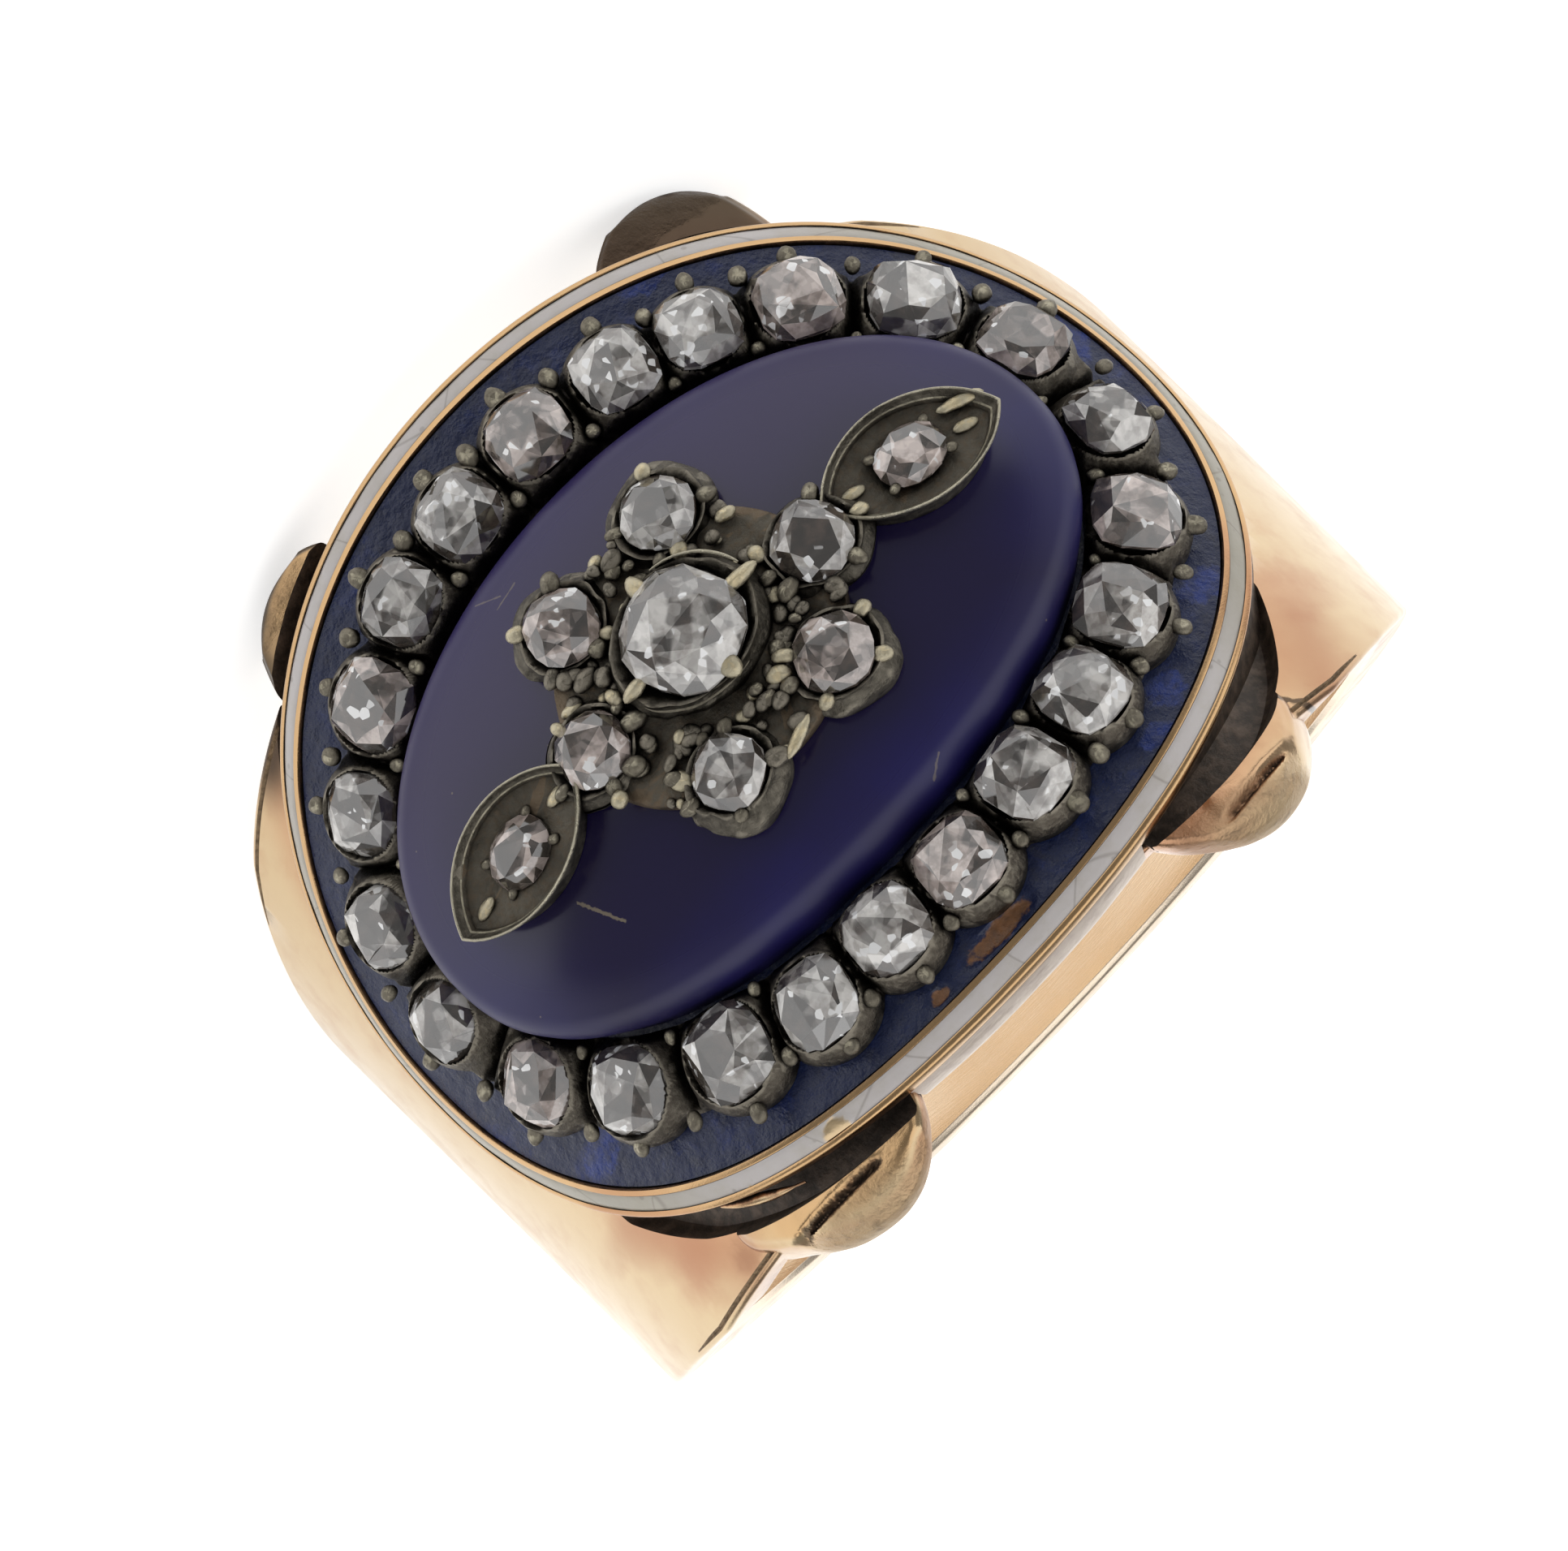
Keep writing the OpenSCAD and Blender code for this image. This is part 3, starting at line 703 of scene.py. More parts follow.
class Paint:
    """The finishes of the ring. Each is made once.

    Numbers that limit a place, such as how far across or up it is, are millimetres on the ring or on the
    flat head. The other limits are levels of a noise or mask from 0 to 1.
    """

    def __init__(self, scene):
        self.colours = scene.ring_finishes
        self.place = place_group(scene.ring_hoop, scene.ring_head)
        self.edge = edge_group(scene.ring_head)
        self.wear = wear_group()
        self.line = line_group()
        self.spot = spot_group()

    def new(self, name):
        """An empty material: ways to fill it, its shader's inputs, and its places on the ring and head."""
        material = bpy.data.materials.new(name)
        if material.name != name:
            raise RuntimeError(f"The frame already has a material named {name}")
        material.use_nodes = True
        material.node_tree.nodes.clear()
        weave = Weave(material.node_tree)
        shader = weave.node("ShaderNodeBsdfPrincipled")
        weave.fill(weave.node("ShaderNodeOutputMaterial").inputs, Surface=shader.outputs[0])
        place = weave.group(self.place)
        return weave, shader.inputs, place["Ring"], place["Head"]

    def gold(self):
        """Pale worn gold, redder beside the head, brown on the ears; dirt and painted shade darken the deep
        places, and painted shade darkens the far ears.
        """
        weave, shader, ring, head = self.new("worn_gold")
        colours = self.colours
        wear = weave.group(self.wear, Place=ring, Reach=0.9 * MM, Dirt=1.25)
        across, up = weave.split(ring)[1:]
        height = weave.split(head)[2]
        mottled = weave.range(wear["Mottle"], 0.45, 0.8, 0, 0.35)
        near = weave.times(
            weave.range(weave.group(self.edge, Place=head)["Out"], 2.7, 1.15, 0, 0.8),
            weave.range(weave.size(across), 2.5, 5.5),
            weave.range(height, -0.60, -0.74),
        )
        rubbed = self.spots(weave, ring, RUBBED_GOLD, 0.25, 1.2, 1.0)
        smudged = self.spots(weave, ring, SMUDGES, 0.25, 4.0, 1.0)
        # Dirt and painted shade in the hollows, from ambient occlusion, fading out towards the back of the
        # hoop
        dirt_and_shade = weave.times(wear["Dirt"], weave.range(up, -6.0, -2.0))
        outward = weave.plus(weave.size(across), weave.times(wear["Mottle"], 0.7))
        ears = weave.times(weave.range(outward, 8.3, 8.8, 0, 0.3), weave.range(up, 9.9, 9.4))
        grit = weave.noise(ring, 4.5, 5, 0.65)
        # Painted shade on the far ears, under the rim, where they face the floor
        low = weave.times(
            weave.range(across, -5.9, -6.9),
            weave.range(up, 6.6, 7.6),
            weave.range(height, -0.48, -0.58, 0, 0.93),
        )
        inside = weave.length(weave.vector("MULTIPLY", ring, (1, 0, 1)))
        tone = weave.layers(
            colours.gold,
            (mottled, colours.red_gold),
            (near, colours.red_gold),
            (weave.range(height, -0.62, -0.5, 0, 0.9), colours.rim_gold),
            (weave.times(rubbed, 0.7), colours.rubbed),
            (self.lines(weave, ring, RED_LINES, 0.6, 0.0), colours.red_band),
            (weave.times(smudged, 0.5), colours.smudge),
            # In the hollows the dirt and painted shade first turn the gold redder, then umber
            (weave.range(dirt_and_shade, 0.0, 0.5), colours.red_gold),
            (ears, colours.tarnish),
            (weave.times(weave.range(grit, 0.5, 0.72), ears, 1.1), colours.umber_dirt_and_shade),
            (low, colours.umber_dirt_and_shade),
            (self.lines(weave, ring, SOLDER_LINES), colours.umber_dirt_and_shade),
            (weave.range(inside, 9.3, 9.15), colours.inside_gold),
            (weave.range(dirt_and_shade, 0.35, 0.95), colours.umber_dirt_and_shade),
        )
        dull = weave.plus(weave.times(dirt_and_shade, 0.35), weave.times(ears, 0.8))
        rough = weave.plus(weave.range(wear["Mottle"], 0.3, 0.7, 0.17, 0.27), dull)
        worn = weave.bump(wear["Scratch"], 0.012 * MM, 0.35)
        gritty = weave.bump(weave.times(grit, ears), 0.25 * MM, 0.8, Normal=worn)
        weave.fill(shader, Base_Color=tone, Metallic=1.0, Roughness=rough, Normal=gritty)

    def dark_gold(self):
        """Gold of the head's wall and the recess around it, dark brown: old tarnish together with painted
        shade of the recess.
        """
        weave, shader, ring, _ = self.new("dark_gold")
        fine = weave.noise(ring, 3.0, 6, 0.65)
        tone = weave.mix(weave.range(fine, 0.35, 0.75), self.colours.umber_dirt_and_shade, self.colours.brown_gold)
        uneven = weave.bump(fine, 0.05 * MM, 0.7)
        weave.fill(shader, Base_Color=tone, Metallic=0.4, Roughness=0.5, Normal=uneven)

    def pale_side(self):
        """Greyish, lilac gold of the wall under the rim."""
        weave, shader, ring, head = self.new("pale_side")
        fine = weave.noise(ring, 3.5, 5, 0.6)
        streaks = weave.noise(weave.vector("MULTIPLY", head, (0.8, 1.0, 7.0)), 1.0, 3, 0.6)
        tone = weave.layers(
            self.colours.pale_wall,
            (weave.range(fine, 0.4, 0.7, 0, 0.5), self.colours.lilac_wall),
            (weave.range(streaks, 0.45, 0.75, 0, 0.5), self.colours.brown_wall),
        )
        uneven = weave.bump(fine, 0.03 * MM, 0.6)
        weave.fill(shader, Base_Color=tone, Metallic=0.75, Roughness=0.42, Normal=uneven)

    def metal(self, name, tone, worn, reach, dirt_and_shade, rough):
        """A metal of the settings: its colour, the colour of its worn places, its dirt with painted shade in
        the hollows, and its dullness.
        """
        weave, shader, ring, _ = self.new(name)
        wear = weave.group(self.wear, Place=ring, Reach=reach, Dirt=dirt_and_shade)
        fine = weave.noise(ring, 7.0, 6, 0.65)
        patchy = weave.range(weave.noise(ring, 1.7, 4, 0.6), 0.35, 0.7)
        mixed = weave.layers(
            tone,
            (weave.range(fine, 0.4, 0.75, 0, 0.6), worn),
            (weave.times(patchy, 0.35), self.colours.soot_and_shade),
            (weave.range(wear["Edge"], 0.2, 1.0, 0, 0.7), worn),
            # Dirt and painted shade in the hollows, from ambient occlusion
            (wear["Dirt"], self.colours.soot_and_shade),
        )
        dull = weave.range(fine, 0.3, 0.7, rough, rough + 0.18)
        uneven = weave.bump(fine, 0.05 * MM, 0.8)
        weave.fill(shader, Base_Color=mixed, Metallic=0.9, Roughness=dull, Normal=uneven)

    def white(self):
        """Opaque greyish enamel with stains, specks and hair cracks, and gold where it is gone."""
        weave, shader, _, head = self.new("greyed_enamel")
        colours = self.colours
        cracks = weave.rest(weave.range(weave.cells(head, 0.32, "DISTANCE_TO_EDGE"), 0.0, 0.01))
        specks = weave.rest(weave.range(weave.cells(head, 2.1), 0.08, 0.16))
        lumps = self.spots(weave, head, GOLD_LUMPS, 0.2, 4.0)
        tone = weave.layers(
            colours.white,
            (weave.range(weave.noise(head, 1.3, 6, 0.65), 0.4, 0.75, 0, 0.5), colours.white_stain),
            (weave.range(weave.size(weave.split(head)[0]), 6.5, 9.3, 0, 0.75), colours.white_ends),
            (weave.math("MAXIMUM", weave.times(cracks, 0.35), weave.times(specks, 0.3)), colours.white_marks),
            (lumps, colours.gold),
        )
        uneven = weave.bump(weave.noise(head, 2.4, 4), 0.04 * MM, 0.5)
        weave.fill(shader, Base_Color=tone, Metallic=lumps, Roughness=0.3, Normal=uneven)

    def spots(self, weave, place, table, ragged, size, soft=0.3):
        """A mask with all the ragged spots of a table."""
        total = 0.0
        for spot in table:
            where = {"Place": place, "Centre": spot["at"], "Reach": spot["reach"]}
            mask = weave.group(self.spot, **where, Ragged=ragged, Grain=size, Soft=soft)["Mask"]
            total = weave.math("MAXIMUM", mask, total)
        return total

    def lines(self, weave, place, table, grain_size=9.0, core=0.4):
        """A mask with all the lines of a table, each as strong as its share."""
        total = 0.0
        for line in table:
            where = {"Place": place, "Start": line["start"], "End": line["end"]}
            mask = weave.group(self.line, **where, Width=line["width"], Grain=grain_size, Core=core)["Mask"]
            total = weave.math("MAXIMUM", weave.times(mask, line["share"]), total)
        return total

    def blue(self):
        """Dark blue enamel of the border, with lighter patches and bare copper."""
        weave, shader, _, head = self.new("dark_blue_enamel")
        colours = self.colours
        clouds = weave.range(weave.noise(head, 0.9, 6, 0.7, 0.4), 0.5, 0.72, 0, 0.45)
        patches = weave.times(self.spots(weave, head, BLUE_PATCHES, 0.42, 2.2), 0.85)
        flecks = weave.range(weave.noise(head, 4.5, 3, 0.6), 0.4, 0.62, 0.45, 1.0)
        ground = weave.mix(weave.noise(head, 5.0, 4), colours.copper, colours.dark_ground)
        tone = weave.layers(
            colours.navy,
            (weave.times(weave.math("MAXIMUM", patches, clouds), flecks), colours.bright_blue),
            (weave.range(weave.noise(head, 1.9, 5, 0.65), 0.5, 0.78, 0, 0.5), colours.blue_dirt),
            (self.spots(weave, head, LOST_ENAMEL, 0.42, 3.0), ground),
        )
        rough = weave.range(weave.noise(head, 2.7, 4), 0.35, 0.7, 0.16, 0.4)
        uneven = weave.bump(weave.noise(head, 3.2, 5, 0.6), 0.08 * MM, 0.8)
        weave.fill(shader, Base_Color=tone, Roughness=rough, Specular_IOR_Level=0.35, Normal=uneven)

    def plaque(self):
        """Deep blue glassy enamel, clearer towards its edge, with hair scratches and a painted violet sheen
        on one side.
        """
        weave, shader, _, head = self.new("deep_blue_glass")
        along, across, _ = weave.split(head)
        side = weave.range(weave.size(across), 2.6, 4.6)
        ends = weave.range(weave.size(along), 4.5, 7.4)
        cloudy = weave.range(weave.noise(head, 0.55, 3, 0.5), 0.3, 0.7, 0.6, 1.0)
        thin = weave.times(weave.math("MAXIMUM", side, ends), cloudy, 0.75)
        dust = weave.rest(weave.range(weave.cells(head, 1.1), 0.018, 0.03))
        marks = weave.math("MAXIMUM", self.lines(weave, head, SCRATCHES), weave.times(dust, 0.35))
        tone = weave.layers(
            self.colours.plaque,
            (thin, self.colours.royal),
            # Painted reflection of the pale floor, as a violet sheen on one side
            (weave.range(across, 0.5, -3.0, 0, 0.6), self.colours.painted_violet_sheen),
            (marks, self.colours.scratch),
        )
        shape = weave.vector("DIVIDE", head, (7.9, 5.05, 1000.0))
        far = weave.length(weave.vector("ADD", shape, (0.025, 0.0, 0.0)))
        weave.fill(shader, Base_Color=tone, Roughness=weave.range(far, 0.78, 0.95, 0.16, 0.46), IOR=1.47)

    def diamond(self, name, tint, murk):
        """Old cut stone: painted light and shade, each facet with its own tone over cells of broken light
        from its inside, and painted white glints.
        """
        weave, shader, ring, _ = self.new(name)
        facing = weave.node("ShaderNodeNewGeometry").outputs["True Normal"]
        facet = weave.noise(weave.vector("MULTIPLY", facing, (3.3, 3.3, 3.3)), 1.0, 2, 0.6)
        facet = weave.range(facet, 0.34, 0.62)
        inner = weave.cell_tone(ring, 2.3)
        small = weave.cell_tone(ring, 5.5)
        painted_lit = weave.plus(weave.times(facet, 0.5), weave.times(inner, 0.32), weave.times(small, 0.18))
        light = [a * b for a, b in zip(self.colours.painted_facet_light, tint)]
        flaw = weave.range(weave.noise(ring, 2.6, 4, 0.6), 0.42, 0.68, 0.0, 0.6)
        # Painted white glints
        painted_glint = weave.times(weave.range(small, 0.86, 0.90), weave.range(inner, 0.45, 0.6))
        tone = weave.layers(
            self.colours.painted_facet_shade,
            (weave.range(painted_lit, 0.40, 0.93), light),
            (weave.times(flaw, murk), self.colours.flaw),
            (painted_glint, (1.0, 1.0, 1.0)),
        )
        weave.fill(shader, Base_Color=tone, Roughness=0.06, IOR=2.1, Transmission_Weight=0.3)

    def floor(self, stage):
        """Plain pale floor."""
        material = bpy.data.materials.new("pale_floor")
        material.use_nodes = True
        shader = material.node_tree.nodes["Principled BSDF"].inputs
        weave = Weave(material.node_tree)
        weave.fill(shader, Base_Color=stage.floor, Roughness=0.9, Specular_IOR_Level=0.1)
        weave.fill(shader, Emission_Color=(1, 1, 1, 1), Emission_Strength=stage.floor_glow)


# Places on the ring in millimetres: the dark lines where the near ears meet the hoop
SOLDER_LINES = [
    {"start": (5.79, 8.00, 0), "end": (3.85, 8.46, 0), "width": 0.15, "share": 0.85},
    {"start": (-7.50, 6.8, 0), "end": (-7.78, 7.06, 0), "width": 0.10, "share": 0.85},
    {"start": (-7.78, 7.06, 0), "end": (-7.85, 7.5, 0), "width": 0.10, "share": 0.85},
]

# Reddish bands across the hoop beside the recesses of the near ears
RED_LINES = [
    {"start": (8.30, 4.2, 0), "end": (7.10, 7.1, 0), "width": 1.15, "share": 0.62},
    {"start": (-8.8, 5.3, 0), "end": (-8.2, 7.3, 0), "width": 1.3, "share": 0.75},
]

# Dark smudges where the near left ear meets the hoop, and at the end of the other ear's recess
SMUDGES = [
    {"at": (7.02, 6.98, 0), "reach": (0.45, 0.6, 1)},
    {"at": (-5.2, 8.05, 0), "reach": (0.5, 0.2, 1)},
]

# Places on the ring where the gold is rubbed to a reddish tone
RUBBED_GOLD = [
    {"at": (7.8, 5.9, 0), "reach": (1.0, 0.8, 1)},
    {"at": (-4.6, 8.3, 0), "reach": (0.9, 0.5, 1)},
    {"at": (-9.0, 4.4, 0), "reach": (0.8, 1.2, 1)},
]

# Places on the flat head in millimetres: lighter patches of the blue border
BLUE_PATCHES = [
    {"at": (8.75, 3.60, 0), "reach": (0.8, 0.42, 1)},
    {"at": (-6.03, 6.12, 0), "reach": (0.45, 0.35, 1)},
    {"at": (-8.21, 4.74, 0), "reach": (0.65, 0.4, 1)},
    {"at": (-10.14, -1.14, 0), "reach": (0.35, 0.7, 1)},
    {"at": (-5.27, 6.75, 0), "reach": (0.5, 0.3, 1)},
    {"at": (-4.48, -7.18, 0), "reach": (0.6, 0.3, 1)},
]

# Places where the blue enamel is lost and its ground shows
LOST_ENAMEL = [
    {"at": (-0.35, 7.5, 0), "reach": (0.95, 0.2, 1)},
    {"at": (1.3, 7.52, 0), "reach": (0.24, 0.14, 1)},
]

# Places where the white enamel is gone and gold fills its channel
GOLD_LUMPS = [
    {"at": (4.66, 7.62, 0), "reach": (0.38, 0.3, 1)},
    {"at": (5.5, 7.5, 0), "reach": (0.35, 0.09, 1)},
    {"at": (6.4, 7.15, 0), "reach": (0.3, 0.08, 1)},
    {"at": (6.9, 6.75, 0), "reach": (0.12, 0.1, 1)},
]

# Hair scratches on the plaque
SCRATCHES = [
    {"start": (4.35, 1.25, 0), "end": (4.02, 2.2, 0), "width": 0.05, "share": 0.5},
    {"start": (1.2, -4.05, 0), "end": (1.75, -3.95, 0), "width": 0.025, "share": 0.35},
    {"start": (1.55, -4.1, 0), "end": (2.0, -4.4, 0), "width": 0.025, "share": 0.35},
    {"start": (-1.9, 4.5, 0), "end": (-1.5, 4.75, 0), "width": 0.03, "share": 0.35},
]


class Seat:
    """Where a stone of the frame sits on the flat head, and how wide it is."""

    def __init__(self, node, hoop, head):
        points = np.array([v.co for v in bpy.data.objects[node].data.vertices], float)
        points = moved(points, resting(hoop).inverted())
        flat = flattened(points, head)
        self.node = node
        self.along, self.across = (flat[:, :2].min(0) + flat[:, :2].max(0)) / 2
        local = (points - bent(self.foot(0), head)) @ self.axes(head).T
        spread = np.hypot(local[:, 0], local[:, 1])
        girdle = spread > 0.85 * spread.max()
        self.width = 2 * spread[girdle].min()
        self.height = local[girdle, 2].min()

    @property
    def place(self):
        """Where the stone sits, along and across the flat head."""
        return self.along, self.across

    def foot(self, height):
        """The stone's place on the flat head, at a height."""
        return np.array([self.along, self.across, height])

    def axes(self, head):
        """Directions along the head, across it and out of it, where the stone sits."""
        a = self.along / head.bend_r
        return np.array([[math.cos(a), 0, -math.sin(a)], [0, 1, 0], [math.sin(a), 0, math.cos(a)]])


def seats(scene, kind):
    """The seats of all stones of a kind, in the order of their names."""
    nodes = sorted(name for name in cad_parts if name.startswith(kind))
    return [Seat(node, scene.ring_hoop, scene.ring_head) for node in nodes]


def in_seat(points, seat, head, tip):
    """Stands points of a stone's own frame square on the bent head, in the ring's own frame."""
    turn = np.array(Euler((tip[0], tip[1], 0)).to_matrix())
    return (points @ turn.T) @ seat.axes(head) + bent(seat.foot(seat.height), head)


class RING_OT_finishes(bpy.types.Operator):
    """Makes the finishes of the ring and its floor"""

    bl_idname = "ring.finishes"
    bl_label = "Finishes"

    def execute(self, context):
        paint = Paint(context.scene)
        c = paint.colours
        paint.gold()
        paint.dark_gold()
        paint.pale_side()
        for name, tone, worn, reach, dirt_and_shade, rough in (
            ("tarnished_silver", c.silver, c.worn_silver, 0.6, 1.25, 0.32),
            ("flower_silver", c.crust, c.worn_silver, 0.6, 1.2, 0.34),
            ("rim_silver", c.bright_silver, c.bead, 0.3, 0.5, 0.24),
            ("bead_silver", c.bead, c.silver, 0.4, 1.2, 0.34),
            ("grain_gold", c.grain, c.bead, 0.3, 0.9, 0.3),
            ("groove_gold", c.tarnish, c.umber_dirt_and_shade, 0.3, 0.5, 0.4),
            ("crevice_silver", c.crust, c.rust, 0.6, 0.8, 0.4),
        ):
            paint.metal(name, tone, worn, reach * MM, dirt_and_shade, rough)
        paint.white()
        paint.blue()
        paint.plaque()
        paint.diamond("diamond_clear", (1.0, 1.0, 1.0), 0.7)
        paint.diamond("diamond_grey", (0.82, 0.81, 0.80), 1.0)
        paint.diamond("diamond_rose", (0.95, 0.83, 0.80), 1.0)
        paint.floor(context.scene.ring_stage)
        return {"FINISHED"}


def hoop_half(z, hoop):
    """Half width of the hoop at a height above the finger's middle."""
    hoop_r = outside_r(hoop)
    t = np.clip((hoop.shoulder_z - z) / (hoop.shoulder_z + hoop_r), 0, 1)
    below = hoop.shoulder_w + (hoop.back_w - hoop.shoulder_w) * t
    below = below / 2 - 4 * hoop.side_bow * t * (1 - t)
    up = np.clip((z - hoop.shoulder_z) / (hoop_r - hoop.shoulder_z), 0, 1)
    return np.where(z > hoop.shoulder_z, (hoop.shoulder_w + (hoop.front_w - hoop.shoulder_w) * up) / 2, below)


def hoop_section(hoop):
    """The hoop's cross-section, in rows of (side, distance in from its edge, radius), and its grooves."""
    outside, inside, corner = 26, 14, 5
    hoop_r = outside_r(hoop)
    round_in = INSIDE_ROUNDING * hoop.edge_r
    edge = [(hoop.groove_w, hoop_r), (hoop.groove_w / 2, hoop_r)]
    for k in range(corner):
        a = math.pi / 2 * k / corner
        edge.append((-hoop.edge_r * math.sin(a), hoop_r - hoop.edge_r * (1 - math.cos(a))))
    edge.append((-hoop.edge_r, hoop_r - hoop.edge_r))
    for k in range(corner + 1):
        a = math.pi / 2 * k / corner
        edge.append((-hoop.edge_r + round_in * (1 - math.cos(a)), hoop.bore_r + round_in * (1 - math.sin(a))))
    section = [(side, 0, hoop_r) for side in np.linspace(-0.88, 0.88, outside)]
    section += [(1, inward, radius) for inward, radius in edge]
    section += [(side, 0, hoop.bore_r) for side in np.linspace(1, -1, inside)][1:-1]
    section += [(-1, -inward, radius) for inward, radius in reversed(edge)]
    return np.array(section), (outside, outside + 1, len(section) - 3, len(section) - 2)


def hoop_shell(hoop):
    """The finger hoop: a wide band that narrows to the back, with a groove along its worn edges."""
    around = 420
    hoop_r = outside_r(hoop)
    section, grooves = hoop_section(hoop)
    turn = all_round(around)[:, None]
    side, inward, radius = section.T[:, None, :]
    half = hoop_half(radius * np.cos(turn), hoop) - hoop.edge_r
    half = half - np.where(radius <= hoop.bore_r, (INSIDE_ROUNDING * hoop.edge_r) - hoop.edge_r, 0)
    by_head = smooth_step(hoop.shoulder_z - 1.5 * MM, hoop.shoulder_z, radius * np.cos(turn))
    in_groove = np.isclose(inward, np.sign(side) * hoop.groove_w / 2)
    radius = np.where(in_groove, radius - 0.05 * MM * by_head, radius)
    inward = inward * np.where(inward * side > 0, 0.2 + 0.8 * by_head, 1)
    y = hoop.across + side * half - inward
    loops = np.stack([radius * np.sin(turn), y, radius * np.cos(turn)], -1)
    dents = roughness(loops, (2.6, 1, 0.012), (6.5, 2, 0.02)) - 0.03 * MM
    outer = smooth_step(hoop.bore_r, hoop_r, radius)
    loops = loops * (1 + (dents * outer / hoop_r)[..., None] * np.array([1, 0, 1]))
    marks = np.full((around, len(section)), WORN)
    near_head = np.flatnonzero(hoop_r * np.cos(turn[:, 0]) > hoop.shoulder_z - 1.1 * MM)
    marks[np.ix_(near_head, grooves)] = GROOVE
    return lofted(loops, closed=True, finish=marks)


# The four ears: place from the head's middle, the crease's distance, slope and start, and the reach at
# each angle from the hoop's long way, in degrees and millimetres
EARS = [
    {
        "name": "near_left",
        "at": (4.85, 6.8),
        "crease": 1.54,
        "slope": 0.23,
        "start": -0.65,
        "reach": [
            (0, 2.60), (15, 2.34), (27, 2.12), (46, 2.04), (61, 2.11), (75, 2.18), (88, 2.31), (99, 2.41),
            (109, 2.46), (120, 2.43), (131, 2.40), (140, 2.36), (165, 2.10), (215, 1.75), (325, 1.95),
            (360, 2.60),
        ],
    },
    {
        "name": "near_right",
        "at": (-4.85, 6.8),
        "crease": 1.72,
        "slope": 0.37,
        "start": -0.25,
        "reach": [
            (0, 2.20), (20, 2.10), (36, 2.04), (55, 2.05), (72, 2.09), (87, 2.07), (101, 1.98), (118, 1.88),
            (134, 1.85), (180, 1.80), (215, 1.75), (270, 1.70), (325, 1.90), (360, 2.20),
        ],
    },
    {
        "name": "far_right",
        "at": (-5.1, -6.85),
        "crease": 1.75,
        "slope": 0.3,
        "start": 9,
        "reach": [
            (0, 1.55), (29, 1.72), (45, 1.95), (60, 2.18), (76, 2.28), (90, 2.24), (103, 2.12), (114, 2.00),
            (140, 1.90), (180, 1.75), (215, 1.70), (325, 1.60), (360, 1.55),
        ],
    },
    {
        "name": "far_left",
        "at": (4.65, -6.8),
        "crease": 1.6,
        "slope": 0.3,
        "start": 9,
        "reach": [
            (0, 1.55), (37, 1.68), (57, 1.88), (78, 1.96), (104, 1.98), (117, 2.00), (140, 1.95), (180, 1.75),
            (215, 1.70), (325, 1.60), (360, 1.55),
        ],
    },
]


def ear_shell(ear, hoop, head):
    """One ear: a lump on the edge of the hoop, with a ridge, a crease and a panel beyond it."""
    around, steps = 192, 52
    ways_apart = (-8, -4, 0, 4, 8)
    hoop_r = outside_r(hoop)
    turn = all_round(around)[None, :]
    degrees, reaches = np.array(ear["reach"]).T
    reach = sum(np.interp(np.degrees(turn) + off, degrees, reaches, period=360) for off in ways_apart)
    reach = reach / len(ways_apart) * MM
    out = np.linspace(0.02, 1, steps)[:, None] ** 0.8
    slope = np.sin(turn) + ear["slope"] * np.cos(turn)
    crossing = np.where(slope > 0.05, ear["crease"] * MM / np.maximum(slope, 0.05), 9 * MM) / reach
    beyond = np.clip((out - crossing) / np.maximum(1 - crossing, 0.02), 0, 1)
    panel = smooth_step(0.0, 0.12, 1 - crossing)
    apart = (out - crossing) * reach
    fall = hoop.ear_round * panel * beyond**3 + 0.10 * MM * smooth_step(0.93, 1.0, out)
    start = ear["start"] * MM
    reached = smooth_step(start, start + 0.35 * MM, reach * out * np.cos(turn))
    crease = hoop.crease_d * bell(apart, 0.085 * MM) * panel * reached
    ridge = hoop.ridge_h * smooth_step(-0.02 * MM, -0.12 * MM, apart) * reached
    top = hoop_r + hoop.ear_rise - fall - crease + ridge
    sides = np.sign(ear["at"])
    a, b = reach * out * np.cos(turn), reach * out * np.sin(turn)
    foot_r = hoop.bore_r + 0.05 * MM
    rows = [(a, b, top)]
    for part, shrink in ((0.06, 1.012), (0.3, 1.015), (0.6, 0.995), (0.85, 0.96), (1.0, 0.92)):
        rows.append((a[-1:] * shrink, b[-1:] * shrink, top[-1:] + (foot_r - top[-1:]) * part))
    loops = []
    for a, b, radius in rows:
        x = head.shift + ear["at"][0] * MM + sides[0] * a
        y = ear["at"][1] * MM + sides[1] * b
        z = np.sqrt(np.maximum(radius**2 - x**2, (2 * MM) ** 2))
        loops.append(np.stack([x, y, z], -1))
    flat = np.concatenate(loops)
    rough = roughness(flat, (0.7, 12, 0.025), (0.28, 16, 0.010))
    flat += rough[..., None] * np.array([0, 0.6, 1])
    flat[..., 1] = np.maximum(flat[..., 1], above_floor(flat, hoop))
    return lofted(flat)


def above_floor(points, hoop):
    """The least Y at which points of the ring's own frame still lie just above the floor."""
    rest = resting(hoop)
    return (FLOOR_ROOM - rest[2][3] - rest[2][0] * points[..., 0] - rest[2][2] * points[..., 2]) / rest[2][1]


def oval_loops(profile, head, around):
    """Loops around the head for a profile of (distance outside the field, height)."""
    turns = all_round(around)
    return np.array([head_loop(head, out, turns, height) for out, height in profile])


